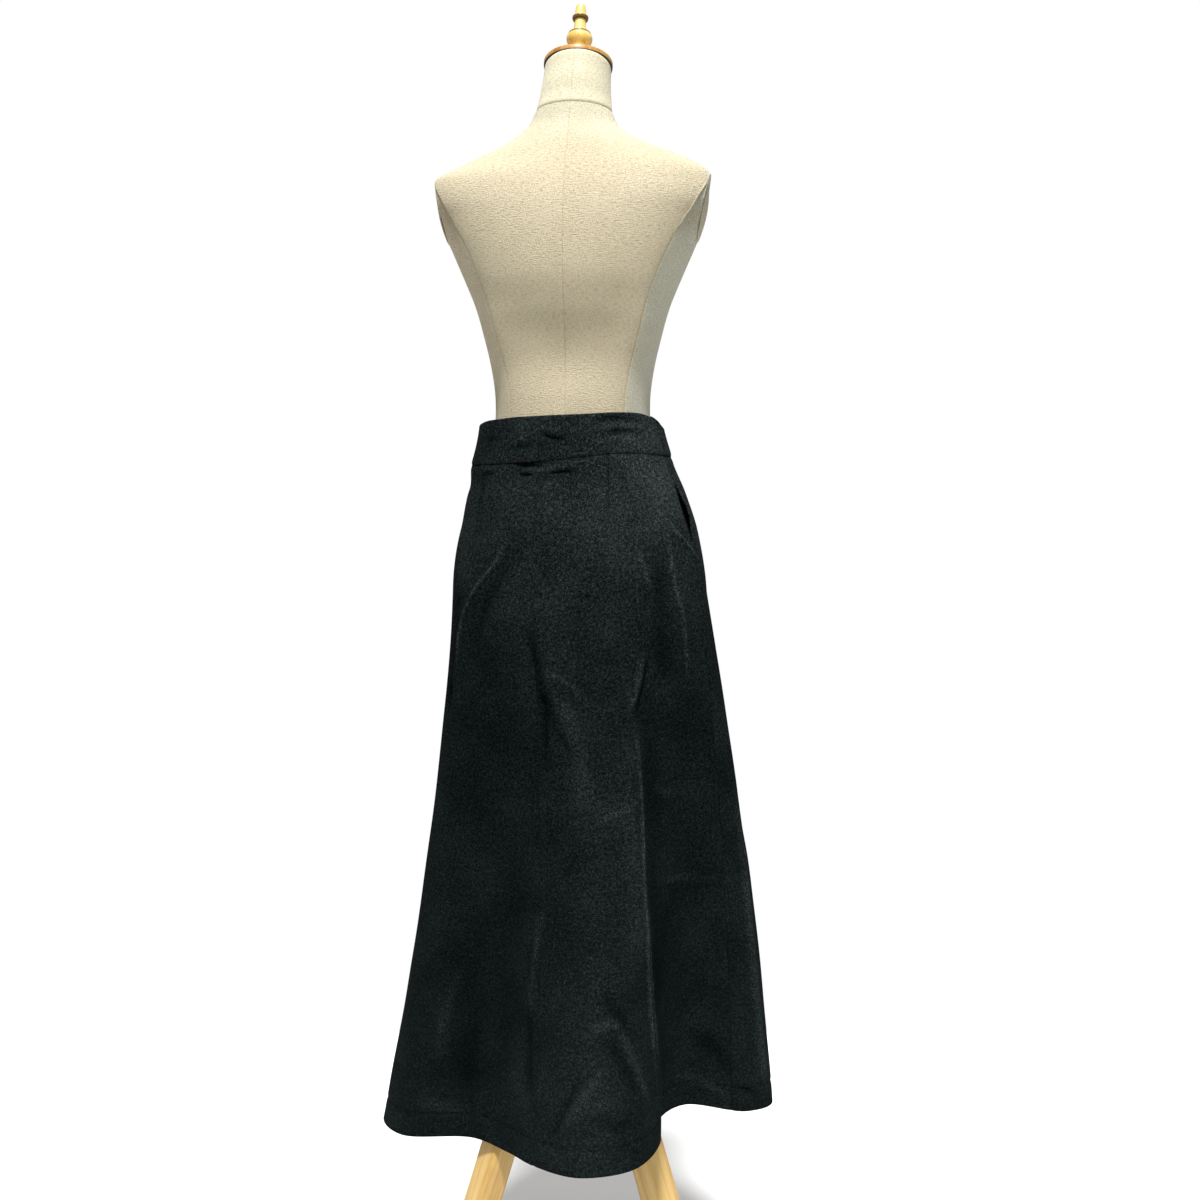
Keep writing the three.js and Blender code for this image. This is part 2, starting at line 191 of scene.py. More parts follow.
pine = wood("pale_pine", (0.66, 0.45, 0.165), (0.56, 0.355, 0.112), (0.40, 0.215, 0.058))

for side, bearing_degrees in leg_bearings.items():
    leg_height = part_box("leg_" + side)[1].z
    bm = bmesh.new()
    bmesh.ops.create_cube(bm, size=1)
    bmesh.ops.scale(bm, verts=bm.verts, vec=(leg_radial, leg_across, leg_height))
    uprights = [e for e in bm.edges if e.calc_length() > leg_height / 2]
    bmesh.ops.bevel(
        bm, geom=uprights, offset=leg_corner, offset_type="OFFSET",
        affect="EDGES", segments=1, profile=0.5, material=-1,
    )
    bmesh.ops.bevel(
        bm, geom=bm.edges, offset=worn_edge, offset_type="OFFSET",
        affect="EDGES", segments=2, profile=0.5, material=-1,
    )
    bmesh.ops.translate(bm, verts=bm.verts, vec=(0, 0, leg_height / 2))
    keep_grain(bm)
    splay = Matrix.Translation((foot_reach, 0, 0))
    splay[0][2] = -leg_slope
    bearing_turn = Matrix.Rotation(math.radians(90 - bearing_degrees), 4, "Z")
    bmesh.ops.transform(bm, verts=bm.verts, matrix=bearing_turn @ splay)
    add_piece(bm, side + "_leg", pine, "stand_wood", "leg_" + side)


# Hub, pole and base board: a turned disc over the legs, a dowel up from it and the oval board under the form.
# The dowel is let into both, and the board is screwed up into the form's foam.
round_overs = {"hub": 0.007, "pole": 0.0008, "base_board": 0.003}
quarter_turn = [math.radians(15 * k) for k in range(7)]


def spun(profile, steps=72):
    """A turned shape about Z from (radius, height) points that start and end on the axis."""
    bm = bmesh.new()
    outline = [bm.verts.new((radius, 0, height)) for radius, height in profile]
    edges = [bm.edges.new(pair) for pair in zip(outline, outline[1:])]
    bmesh.ops.spin(
        bm, geom=outline + edges, axis=(0, 0, 1), cent=(0, 0, 0),
        angle=2 * math.pi, steps=steps, use_merge=True,
    )
    bmesh.ops.remove_doubles(bm, verts=bm.verts, dist=1e-6)
    bmesh.ops.recalc_face_normals(bm, faces=bm.faces)
    return bm


for node_name, round_over in round_overs.items():
    low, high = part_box(node_name)
    radius = high.x
    corner = [(round_over * (1 - math.sin(a)), round_over * (1 - math.cos(a))) for a in quarter_turn]
    profile = [(0, low.z)]
    profile += [(radius - inset, low.z + rise) for inset, rise in corner]
    profile += [(radius - inset, high.z - fall) for fall, inset in corner]
    profile += [(0, high.z)]
    bm = spun(profile)
    bmesh.ops.scale(bm, verts=bm.verts, vec=(1, high.y / radius, 1))
    keep_grain(bm)
    add_piece(bm, node_name + "_wood", pine, "stand_wood", node_name)


# Form body: a foam bust covered in natural linen, cut as eight panels that meet in flat seams.
# The cover is pulled tight, so only the seams, the slubs of the yarn and the armhole rims break its surface.
form_rows = (
    # height, half width, depth behind the pole and before it, nod in degrees, widest line behind the pole
    (0.815, 0.112, 0.080, 0.074, 0, 0),
    (0.845, 0.138, 0.102, 0.094, 0, 0),
    (0.890, 0.148, 0.113, 0.104, 0, 0),
    (0.938, 0.149, 0.115, 0.106, 0, 0),
    (1.016, 0.141, 0.109, 0.102, 0, 0),
    (1.060, 0.127, 0.099, 0.097, 0, 0),
    (1.105, 0.111, 0.089, 0.091, 0, 0),
    (1.150, 0.101, 0.0855, 0.087, 0, 0),
    (1.185, 0.100, 0.0825, 0.087, 0, 0),
    (1.224, 0.105, 0.081, 0.091, 0, 0),
    (1.263, 0.114, 0.0865, 0.098, 0, 0),
    (1.302, 0.125, 0.0965, 0.110, 0, 0),
    (1.341, 0.141, 0.105, 0.126, 0, 0),
    (1.380, 0.158, 0.106, 0.134, 0, 0),
    (1.412, 0.172, 0.102, 0.129, 0, 0),
    (1.436, 0.183, 0.0955, 0.112, 0, 0),
    (1.455, 0.182, 0.0875, 0.095, 0, 0),
    (1.471, 0.172, 0.0785, 0.084, 0, 0),
    (1.489, 0.134, 0.0655, 0.074, 2, -0.001),
    (1.508, 0.090, 0.052, 0.068, 4, -0.006),
    (1.527, 0.062, 0.038, 0.065, 7, -0.012),
    (1.549, 0.0495, 0.028, 0.064, 10, -0.018),
)
princess_rows = (
    # height, bearing of the back seam from straight back, of the front seam from straight front
    (0.815, 40, 38),
    (1.105, 45, 43),
    (1.185, 46.5, 44),
    (1.263, 48.5, 47),
    (1.319, 51, 49),
    (1.353, 53.5, 50),
    (1.378, 55.5, 50),
    (1.398, 58, 51),
    (1.421, 61, 52),
    (1.437, 63, 55),
    (1.448, 67.5, 56),
    (1.457, 73, 56),
    (1.489, 76, 52),
    (1.549, 55, 50),
)
armhole_low = (0.1585, 1.380)
armhole_high = (0.174, 1.455)
armhole_recess = 0.0016
recess_start = 0.05
rim_heights = (1.374, 1.416, 1.450, 1.460)
rim_reach = 0.006
rim_piping = 0.0007
# painted shadow along the armhole rim, and painted shade washed over the inset beside it
rim_shadow = 0.0016
inset_wash = 0.4
shoulder_tilt = 0.03
shoulder_heights = (1.455, 1.485, 1.505, 1.535)
back_hollow = 0.0038
hollow_height = 1.236
hollow_half_height = 0.040
hollow_half_turn = 0.45
flank_swell = 0.006
flank_height = 1.270
flank_half_height = 0.060
flank_turn = 0.88
flank_half_turn = 0.28
# heights over which the body's linen is painted paler up into the neck, as painted light
nape_heights = (1.485, 1.545)
side_panel_top = 1.48
side_panel_fade = 0.003
seam_gap = 0.0003
seam_depth = 0.0006
seam_half = 0.0007
seam_tone = 0.004
body_tone = (0.79, 0.695, 0.49)
# painted light: the paler grey-green tone of the right side panels stands in for cool light falling on that
# side
side_tone = (0.76, 0.74, 0.585)
# painted light: the paler neck tone is a painted highlight for the strong light on the neck
neck_tone = (0.95, 0.885, 0.66)
body_panels = 8
armhole_panels = (1, 6)
grey_panels = (5, 6)
back_princess_seams = [1, 7]
panel_columns = 20
body_rows = 230
seam_crowding = 0.13
climb_steps = 800
body_weave_radius = 0.125
yarn_draw = 0.22


def curve_through(x, xs, ys):
    """A smooth curve through a table's points, read at x."""
    steps = np.diff(xs)
    chords = np.diff(ys) / steps
    inner = (chords[:-1] * steps[1:] + chords[1:] * steps[:-1]) / (steps[1:] + steps[:-1])
    slopes = np.concatenate((chords[:1], inner, chords[-1:]))
    k = np.clip(np.searchsorted(xs, x, side="right") - 1, 0, len(xs) - 2)
    t = (x - xs[k]) / steps[k]
    rest = 1 - t
    level = ys[k] * (1 + 2 * t) * rest**2 + ys[k + 1] * t * t * (3 - 2 * t)
    return level + steps[k] * t * rest * (slopes[k] * rest - slopes[k + 1] * t)


def smooth_step(x, low, high):
    """Rises softly from 0 at low to 1 at high."""
    t = np.clip((x - low) / (high - low), 0, 1)
    return t * t * (3 - 2 * t)


def stretch(x, start, full, fading, end):
    """Rises softly to 1 between start and full, and falls again between fading and end."""
    return smooth_step(x, start, full) * (1 - smooth_step(x, fading, end))


def bell(distance, half_width):
    """1 on a line, fading softly beside it."""
    return np.exp(-((distance / half_width) ** 2))


def columns_of(rows, height):
    """Every column of a table after its first, read smoothly at a height."""
    table = np.array(rows)
    return [curve_through(height, table[:, 0], column) for column in table.T[1:]]


def lengths_along(points):
    """Distance from the first point of a line to each of its points."""
    return np.concatenate(([0], np.cumsum(np.linalg.norm(np.diff(points, axis=0), axis=1))))


def grid(columns, rows):
    """A flat grid, with each point's share across and up, rows first."""
    bm = bmesh.new()
    bmesh.ops.create_grid(bm, x_segments=columns, y_segments=rows, size=1)
    bm.verts.ensure_lookup_table()
    shares = np.array([vert.co[:2] for vert in bm.verts]) / 2 + 0.5
    return bm, shares[:, 0], shares[:, 1]


def place(bm, points):
    """Moves the grid's points to their places."""
    for vert, point in zip(bm.verts, points):
        vert.co = point
    bm.normal_update()


def lay_weave(bm, across, along):
    """Gives the cloth a UV map in metres, so that its threads keep their size."""
    bm.verts.index_update()
    layer = bm.loops.layers.uv.new("weave")
    for face in bm.faces:
        for loop in face.loops:
            k = loop.vert.index
            loop[layer].uv = (across[k], along[k])


def note(bm, **numbers):
    """Keeps numbers at each point for the finish to read; a single number stands for every point."""
    for name, values in numbers.items():
        layer = bm.verts.layers.float.new(name)
        for vert, value in zip(bm.verts, np.broadcast_to(values, len(bm.verts))):
            vert[layer] = value


def close_ends(bm):
    """Caps the open ends of a tube and turns its faces outward."""
    bmesh.ops.holes_fill(bm, edges=[e for e in bm.edges if e.is_boundary], sides=0)
    bmesh.ops.recalc_face_normals(bm, faces=bm.faces)


def linen(name, main, side, raised=1.0):
    """Natural linen: uneven slubbed yarns across, finer ones up, darker along the seams, with painted shade
    in the armhole insets, a painted shadow at the neck's base, a painted highlight towards the nape and
    painted cool light on the side panels.
    """
    material, shader = finish_of(name, Sheen_Weight=0.12, Sheen_Roughness=0.6, Specular_IOR_Level=0.2)
    weave = node(material, "UVMap", uv_map="weave").outputs[0]
    weft = drawn_out(material, weave, yarn_draw, 1, 1)
    warp = drawn_out(material, weave, 1, yarn_draw, 1)
    slubs = speckle(material, weft, Scale=850, Detail=2, Roughness=0.6)
    fine = speckle(material, warp, Scale=900, Detail=2, Roughness=0.6)
    flecks = speckle(material, weave, Scale=620, Detail=2, Roughness=0.7)
    cloudy = speckle(material, weave, Scale=16, Detail=3)
    threads = weigh(material, (slubs, 0.40), (fine, 0.32), (flecks, 0.28))
    # painted light: the side panels' cool tone, then the nape's painted highlight
    base = mix(material, noted(material, "side_panel"), (*main, 1), (*side, 1))
    base = mix(material, noted(material, "nape"), base, (*neck_tone, 1))
    woven = ramp(material, threads, (0.40, (0.70, 0.68, 0.61)), (0.50, 0.96), (0.60, 1.06))
    faded = ramp(material, cloudy, (0.3, (0.93, 0.92, 0.90)), (0.7, 1.0))
    inset = noted(material, "inset")
    # painted shade in the armhole insets and painted shadow at the neck's base seam
    sunken = ramp(material, inset, (0.0, 1.0), (0.5, (0.72, 0.71, 0.67)), (1.0, (0.34, 0.33, 0.29)))
    stitched = ramp(material, noted(material, "seam"), (0.0, (0.86, 0.83, 0.77)), (0.25, 1.0))
    colour = tint(material, base, woven, faded, sunken, stitched)
    rough = ramp(material, threads, (0.3, 0.96), (0.7, 0.84))
    bumps = relief(material, threads, raised, 0.0030)
    feed(material, shader, Base_Color=colour, Roughness=rough, Normal=bumps)
    return material


natural_linen = linen("natural_linen", body_tone, side_tone)

bm, across, up = grid(body_panels * panel_columns, body_rows)
form_table = np.array(form_rows)
climb = np.linspace(form_table[0, 0], form_table[-1, 0], climb_steps)
climb_side = curve_through(climb, form_table[:, 0], form_table[:, 1])
climbed = lengths_along(np.stack((climb, climb_side), -1))
height = np.interp(up * climbed[-1], climbed, climb)
half_width, behind, before, nod, widest = columns_of(form_rows, height)

back_seam, front_seam = np.radians(columns_of(princess_rows, height))
zero = np.zeros_like(height)
seams = np.stack((
    zero, back_seam, zero + math.pi / 2, math.pi - front_seam, zero + math.pi,
    math.pi + front_seam, zero + 1.5 * math.pi, 2 * math.pi - back_seam, zero + 2 * math.pi,
))
panel = np.minimum((across * body_panels + 1e-6).astype(int), body_panels - 1)
share = across * body_panels - panel
share = share - seam_crowding * np.sin(2 * math.pi * share)
every_point = np.arange(len(height))
turn = seams[panel, every_point] * (1 - share) + seams[panel + 1, every_point] * share
depth = np.where(np.cos(turn) > 0, behind - widest, before + widest)
reach = np.hypot(half_width * np.cos(turn), depth * np.sin(turn))
to_seam = np.abs(turn - seams).min(axis=0) * reach

x = half_width * np.sin(turn)
back = depth * np.cos(turn)
tilt = shoulder_tilt * stretch(height, *shoulder_heights)
z = height + back * np.tan(np.radians(nod)) - tilt * x
place(bm, np.stack((x, widest + back, z), -1))

beside_rim = np.isin(panel, armhole_panels)
from_rim = np.where(panel == armhole_panels[0], share, 1 - share)
by_rim = stretch(height, *rim_heights)
recess = armhole_recess * by_rim * beside_rim * smooth_step(from_rim, 0, recess_start) * (1 - from_rim) ** 2
at_rim = by_rim * (np.abs(turn - seams[back_princess_seams]).min(axis=0) * reach < rim_reach)
groove = (seam_depth * (1 - at_rim) - rim_piping * at_rim * ~beside_rim) * bell(to_seam, seam_half)
spine = np.minimum(turn, 2 * math.pi - turn)
small_of_back = bell(height - hollow_height, hollow_half_height) * bell(spine, hollow_half_turn)
flanks = bell(height - flank_height, flank_half_height) * bell(spine - flank_turn, flank_half_turn)
sunk = recess + groove + back_hollow * small_of_back - flank_swell * flanks
bmesh.ops.reverse_faces(bm, faces=bm.faces)
bm.normal_update()
normals = np.array([vert.normal for vert in bm.verts])
normals[(across == 0) | (across == 1), 0] = 0
place(bm, np.array([vert.co for vert in bm.verts]) - normals * sunk[:, None])
# painted cool light on the right side panels, below their top
on_grey = np.isin(panel, grey_panels) * (height < side_panel_top)
lay_weave(bm, turn * body_weave_radius, height)
note(
    bm,
    seam=np.clip(to_seam / seam_tone + at_rim * ~beside_rim, 0, 1),
    # painted shade over the armhole insets, deepest in a painted shadow line along the rim
    inset=by_rim * beside_rim * (inset_wash * (1 - from_rim) + (1 - inset_wash) * bell(to_seam, rim_shadow)),
    # painted highlight: the linen is painted paler up into the neck
    nape=smooth_step(height, *nape_heights),
    # painted cool light on the right side panels
    side_panel=on_grey * smooth_step(to_seam, 0, side_panel_fade),
)
bmesh.ops.remove_doubles(bm, verts=bm.verts, dist=1e-5)
for sign in (1, -1):
    run = Vector((armhole_high[0] - armhole_low[0], 0, armhole_high[1] - armhole_low[1]))
    bmesh.ops.bisect_plane(
        bm, geom=bm.verts[:] + bm.edges[:] + bm.faces[:], plane_co=(sign * armhole_low[0], 0, armhole_low[1]),
        plane_no=Vector((sign * run.z, 0, -run.x)).normalized(), clear_outer=True,
    )
close_ends(bm)
body = add_piece(bm, "linen_body", natural_linen, "linen", "form_body")


# Armhole plates: oval cards padded and covered in the same linen, let into the rims.
# They close the sides of the form where arms would join.
armhole_tone = (0.70, 0.635, 0.47)
plate_edge = 0.0008
plate_swell = 0.004
plate_half_width = 0.029
plate_half_height = 0.035
armhole_lean = math.atan2(armhole_high[0] - armhole_low[0], armhole_high[1] - armhole_low[1])
armhole_middle = ((armhole_low[0] + armhole_high[0]) / 2, (armhole_low[1] + armhole_high[1]) / 2)

armhole_linen = linen("armhole_linen", armhole_tone, armhole_tone)
rounding = [math.radians(6 * k) for k in range(15)]
plate_profile = [(0, 0), (1, 0)]
plate_profile += [(math.cos(a), plate_edge + plate_swell * math.sin(a) ** 2) for a in rounding]
plate_profile += [(0, plate_edge + plate_swell)]
for side, sign in (("left", 1), ("right", -1)):
    bm = spun(plate_profile, 64)
    bmesh.ops.scale(bm, verts=bm.verts, vec=(plate_half_height, plate_half_width, 1))
    lay_weave(bm, [v.co.y for v in bm.verts], [v.co.x for v in bm.verts])
    note(bm, seam=1.0)
    seat = Matrix.Translation((sign * armhole_middle[0], 0, armhole_middle[1]))
    seat = seat @ Matrix.Rotation(sign * (armhole_lean + math.pi / 2), 4, "Y")
    bmesh.ops.transform(bm, verts=bm.verts, matrix=seat @ Matrix.Translation((0, 0, seam_gap)))
    add_piece(bm, side + "_armhole_cover", armhole_linen, "linen", "armhole_plate_" + side)


# Neck: a short linen-covered stub on the body, seamed at the back and at its base.
# It nods forward, and its top carries the wooden cap.
neck_rows = (
    # columns as for the body
    (1.5494, 0.0495, 0.028, 0.064, 10, -0.018),
    (1.563, 0.047, 0.023, 0.068, 12, -0.0225),
    (1.579, 0.045, 0.019, 0.072, 15, -0.0265),
    (1.595, 0.0435, 0.013, 0.076, 18, -0.0315),
    (1.611, 0.043, 0.008, 0.080, 20, -0.036),
)
neck_lean = 0.05
neck_radius = 0.045
neck_weave_radius = 0.047
neck_roll = 0.0016
neck_roll_low = 0.025
neck_roll_high = 0.02
neck_seam_half = 0.001
neck_seam_depth = 0.0008
# strength and width of the painted shadow at the neck's base seam
neck_seam_tone = 0.8
neck_seam_shadow = 0.0014

# The neck's linen is painted paler all over, a painted highlight for the strong light on it.
neck_linen = linen("neck_linen", neck_tone, neck_tone, raised=0.35)
bm, across, up = grid(96, 40)
neck_base = neck_rows[0][0]
neck_rise = neck_rows[-1][0] - neck_base
height = neck_base + up * neck_rise
half_width, behind, before, nod, widest = columns_of(neck_rows, height)
turn = across * 2 * math.pi
depth = np.where(np.cos(turn) > 0, behind - widest, before + widest)
rolled = neck_roll * (np.exp(-up / neck_roll_low) + np.exp(-(1 - up) / neck_roll_high))
back = (depth - rolled) * np.cos(turn)
z = height + back * np.tan(np.radians(nod))
x = (half_width - rolled) * np.sin(turn) - neck_lean * (z - neck_base)
to_seam = np.minimum(turn, 2 * math.pi - turn) * neck_radius
groove = np.where(to_seam < neck_seam_half, neck_seam_depth, 0)
place(bm, np.stack((x, widest + back - groove, z), -1))
lay_weave(bm, turn * neck_weave_radius, height)
note(
    bm,
    seam=np.clip(np.minimum(to_seam, (height - neck_base) * 2) / seam_tone, 0, 1),
    # painted shadow: a dark band along the neck's base seam
    inset=neck_seam_tone * bell(height - neck_base, neck_seam_shadow),
)
bmesh.ops.remove_doubles(bm, verts=bm.verts, dist=1e-5)
close_ends(bm)
neck = add_piece(bm, "linen_neck", neck_linen, "linen", "form_neck")


# Neck cap and finial: turned beech, stained honey and varnished, pegged through into the neck.
# The finial is one turning: foot, cove, scored bun, shaft, flange and knob, with its score line and flange
# darkened.
cap_radius = 0.0445
cap_rim = 0.0075
cap_crown = 0.014
crown_radius = 0.014
crown_inset = 0.003
cap_edge = (
    # in from the cap's radius, height
    (0.0020, 0), (0, 0.0010), (0, 0.0022),
    (0, cap_rim - 0.0012), (0.0004, cap_rim - 0.0004), (0.0012, cap_rim),
)
# height of the cap's painted shadow line at its foot, and strength of the painted shade over the rest of the
# cap
cap_foot = 0.0015
cap_burnt = 0.55
finial_stretches = (
    # from height, to height, radius there and there, swell of the middle
    (0.000, 0.005, 0.0122, 0.0122, 0.0008),
    (0.005, 0.0165, 0.0118, 0.0118, -0.0018),
    (0.0165, 0.0350, 0.0118, 0.0148, 0.0034),
    (0.0350, 0.0375, 0.0148, 0.0086, 0.0),
    (0.0375, 0.0560, 0.0085, 0.0073, -0.0003),
    (0.0560, 0.0610, 0.0099, 0.0101, 0.0005),
    (0.0610, 0.0762, 0.0073, 0.0060, 0.0003),
    (0.0762, 0.0775, 0.0058, 0.0, 0.0010),
)
finial_steps = 12
score_height = 0.0338
score_depth = 0.0006
score_half = 0.0008
score_burn_half = 0.0020
flange_foot = 0.0555
flange_burn_heights = (0.0585, 0.0612)
flange_burnt = 0.9

honey = wood(
    "honey_varnish", (1.0, 0.86, 0.33), (1.0, 0.74, 0.20), (0.72, 0.37, 0.05),
    Coat_Weight=0.35, Coat_Roughness=0.18,
)
neck_top = Matrix.Translation((-neck_lean * neck_rise, neck_rows[-1][5], neck_rows[-1][0]))
neck_axis = neck_top @ Matrix.Rotation(math.radians(neck_rows[-1][4]), 4, "X")

dome_width = cap_radius - crown_inset - crown_radius
dome = [math.radians(9 * k) for k in range(1, 11)]
cap_profile = [(0, 0)]
cap_profile += [(cap_radius - inset, level) for inset, level in cap_edge]
cap_profile += [
    (crown_radius + dome_width * math.cos(a), cap_rim + (cap_crown - cap_rim) * math.sin(a)) for a in dome
]
cap_profile += [(0, cap_crown)]
bm = spun(cap_profile, 96)
keep_grain(bm)
# painted shade: the whole cap is browned for the shade on its rim, and its foot blackened as a painted shadow
# in the gap over the neck
note(bm, burnt=[cap_burnt if v.co.z > cap_foot else 1.0 for v in bm.verts])
bmesh.ops.transform(bm, verts=bm.verts, matrix=neck_axis @ Matrix.Translation((0, 0, seam_gap)))
add_piece(bm, "cap_wood", honey, "turned_wood", "neck_cap")

finial_profile = [(0, 0)]
for start, end, radius_low, radius_high, swell in finial_stretches:
    for k in range(finial_steps + 1):
        t = k / finial_steps
        level = start + (end - start) * t
        radius = radius_low + (radius_high - radius_low) * t + swell * math.sin(math.pi * t)
        radius -= score_depth * bell(level - score_height, score_half)
        finial_profile.append((max(radius, 0), level))
bm = spun(finial_profile, 56)
keep_grain(bm)
levels = np.array([v.co.z for v in bm.verts])
scored = bell(levels - score_height, score_burn_half)
flanged = flange_burnt * (levels > flange_foot) * (1 - smooth_step(levels, *flange_burn_heights))
note(bm, burnt=np.maximum(scored, flanged))
finial_seat = neck_axis @ Matrix.Translation((0, 0, cap_crown + 2 * seam_gap))
bmesh.ops.transform(bm, verts=bm.verts, matrix=finial_seat)
add_piece(bm, "finial_wood", honey, "turned_wood", "finial")


# Skirt panels: one front and two backs of heavy black felted wool, seamed at the sides and centre back.
# The cloth sits on the hips and falls free below them in shallow flutes; the hem is turned up inside.
waist_height = 1.105
waist_tilt = 0.047
waist_bow = 0.0075
waist_bow_bearing = math.radians(-33)
waist_bow_tightness = 5.2
hip_height = 0.938
back_seam_bearing = math.radians(14)
flare_power = 1.04
sway = 0.010
left_seam = 0.25
right_seam = 0.737
skirt_fall = 0.875
cloth_wall = 0.0016
hem_turn_up = 0.030
hem_fold_radius = 0.0018
hem_stitch_sink = 0.0010
hem_stitch_half = 0.003
hem_stitch_tone = 0.0045
hem_stitch_pale = 0.42
seam_roll = 0.0010
seam_roll_half = 0.0028
waist_roll_half = 0.0035
# reach of the painted shadow just under the waist seam
waist_tone = 0.0030
edge_tone = 0.003
form_clearance = 0.0006
pocket_top = 0.026
pocket_opening = 0.090
pocket_gape = 0.0045
pocket_gape_reach = 0.012
pocket_lift = 0.004
pocket_sink = 0.002
pocket_lift_reach = 0.020
slit_flatness = 0.8
panel_rows = 250
row_crowding = 0.35
column_crowding = 0.30
girth_steps = 2001
hem_steps = 4000
# length over which the unevenness changes, and how far it goes
panel_slack = (0.11, 0.0016)
waist_waver = (0.012, 0.0024)
hem_waver = (0.010, 0.5)
# share of a crease's length over which it fades at each end, and how far it runs on
falling_ends = (0.24, 0.010)
lying_ends = (0.40, 0.004)
stand_off_rows = (
    # height, clearance of the outer face from the form on the left, right, back and front
    (0.930, 0.006, 0.024, 0.009, 0.007),
    (1.016, 0.0032, 0.019, 0.008, 0.0032),
    (1.068, 0.0095, 0.019, 0.010, 0.007),
    (1.105, 0.019, 0.017, 0.014, 0.011),
    (1.170, 0.018, 0.0135, 0.0125, 0.010),
)
hem_folds = (
    # x, y and height of each fold and hollow, from the back seam round the wearer's left
    (0.031, 0.160, 0.232),
    (0.073, 0.112, 0.229),
    (0.123, 0.075, 0.231),
    (0.224, 0.041, 0.217),
    (0.263, -0.028, 0.214),
    (0.195, -0.110, 0.220),
    (0.132, -0.193, 0.226),
    (0.020, -0.164, 0.231),
    (-0.080, -0.203, 0.236),
    (-0.155, -0.143, 0.242),
    (-0.262, -0.044, 0.249),
    (-0.228, 0.008, 0.255),
    (-0.150, 0.021, 0.266),
    (-0.118, 0.070, 0.261),
    (-0.123, 0.120, 0.250),
    (-0.096, 0.180, 0.241),
    (-0.033, 0.203, 0.237),
)
falling_creases = (
    # half width, rise, then points as (share of the girth from the back seam, drop below the waist seam)
    (0.0028, 0.003, (0.871, 0.315), (0.871, 0.395), (0.874, 0.464), (0.878, 0.518), (0.877, 0.601),
     (0.874, 0.684), (0.868, 0.75), (0.864, 0.8)),
    (0.0026, 0.0018, (0.871, 0.54), (0.87, 0.64), (0.863, 0.72), (0.858, 0.775)),
    (0.017, 0.0046, (0.88, 0.33), (0.886, 0.41), (0.889, 0.52), (0.886, 0.64)),
    (0.018, -0.0062, (0.842, 0.25), (0.85, 0.408), (0.852, 0.625), (0.842, 0.78)),
    (0.0036, -0.0026, (0.841, 0.25), (0.853, 0.285), (0.87, 0.325)),
    (0.004, 0.002, (0.853, 0.255), (0.862, 0.285), (0.88, 0.32)),
    (0.0048, 0.0019, (-0.004, 0.545), (0.006, 0.62), (0.01, 0.656), (0.014, 0.705)),
    (0.0085, -0.0036, (0.015, 0.67), (0.013, 0.73), (0.01, 0.8)),
    (0.022, -0.004, (0.046, 0.52), (0.05, 0.68), (0.062, 0.83)),
    (0.008, -0.0048, (0.014, 0.195), (-0.002, 0.245), (-0.007, 0.285), (-0.01, 0.335), (-0.008, 0.385)),
    (0.006, -0.0024, (-0.013, 0.285), (-0.024, 0.328), (-0.045, 0.362)),
    (0.01, 0.003, (-0.03, 0.285), (-0.052, 0.345), (-0.06, 0.43)),
    (0.0028, 0.003, (0.045, 0.1), (0.066, 0.131), (0.088, 0.15), (0.106, 0.17), (0.13, 0.201),
     (0.144, 0.256)),
    (0.01, -0.0038, (0.032, 0.108), (0.056, 0.15), (0.082, 0.19), (0.1, 0.235)),
    (0.013, -0.0072, (0.14, 0.16), (0.164, 0.225), (0.172, 0.34)),
    (0.003, 0.0019, (0.791, 0.098), (0.789, 0.167), (0.78, 0.195), (0.776, 0.25), (0.773, 0.3)),
    (0.013, -0.005, (0.812, 0.115), (0.815, 0.2), (0.814, 0.3)),
    (0.0028, 0.0014, (0.846, 0.12), (0.838, 0.144), (0.829, 0.17)),
    (0.009, 0.0028, (0.108, 0.64), (0.116, 0.675), (0.125, 0.72), (0.128, 0.79)),
    (0.017, -0.0056, (0.085, 0.68), (0.094, 0.75), (0.098, 0.82)),
    (0.007, -0.0028, (0.926, 0.655), (0.914, 0.685), (0.903, 0.712)),
    (0.0056, 0.0024, (0.914, 0.69), (0.905, 0.728), (0.893, 0.765), (0.88, 0.805)),
    (0.008, -0.003, (0.924, 0.712), (0.91, 0.745), (0.897, 0.78)),
    (0.008, 0.0016, (0.965, 0.82), (0.948, 0.785), (0.93, 0.745)),
    (0.008, -0.003, (0.978, 0.835), (0.962, 0.79), (0.946, 0.752)),
    (0.0022, -0.0008, (0.872, 0.0), (0.88, 0.045), (0.886, 0.08)),
    (0.0022, -0.0008, (0.118, 0.0), (0.112, 0.045), (0.108, 0.08)),
    (0.008, 0.0034, (0.33, 0.12), (0.338, 0.25), (0.345, 0.47)),
    (0.006, 0.0042, (0.385, 0.3), (0.38, 0.5), (0.372, 0.86)),
    (0.017, -0.0056, (0.415, 0.26), (0.421, 0.46), (0.43, 0.72)),
    (0.008, -0.0036, (0.47, 0.22), (0.466, 0.38), (0.455, 0.58)),
    (0.013, -0.0042, (0.5, 0.4), (0.508, 0.6), (0.52, 0.86)),
    (0.006, 0.0042, (0.552, 0.2), (0.557, 0.41), (0.562, 0.64), (0.556, 0.88)),
    (0.017, -0.0056, (0.59, 0.3), (0.597, 0.52), (0.6, 0.76)),
    (0.004, 0.0028, (0.63, 0.14), (0.641, 0.24), (0.648, 0.36)),
    (0.012, -0.004, (0.66, 0.18), (0.672, 0.33), (0.68, 0.52)),
    (0.007, 0.004, (0.7, 0.4), (0.704, 0.62), (0.698, 0.87)),
    (0.008, 0.004, (0.285, 0.42), (0.292, 0.62), (0.3, 0.87)),
    (0.016, -0.0044, (0.222, 0.22), (0.226, 0.45), (0.22, 0.7)),
    (0.0046, 0.0024, (0.52, 0.16), (0.505, 0.215), (0.495, 0.25)),
)
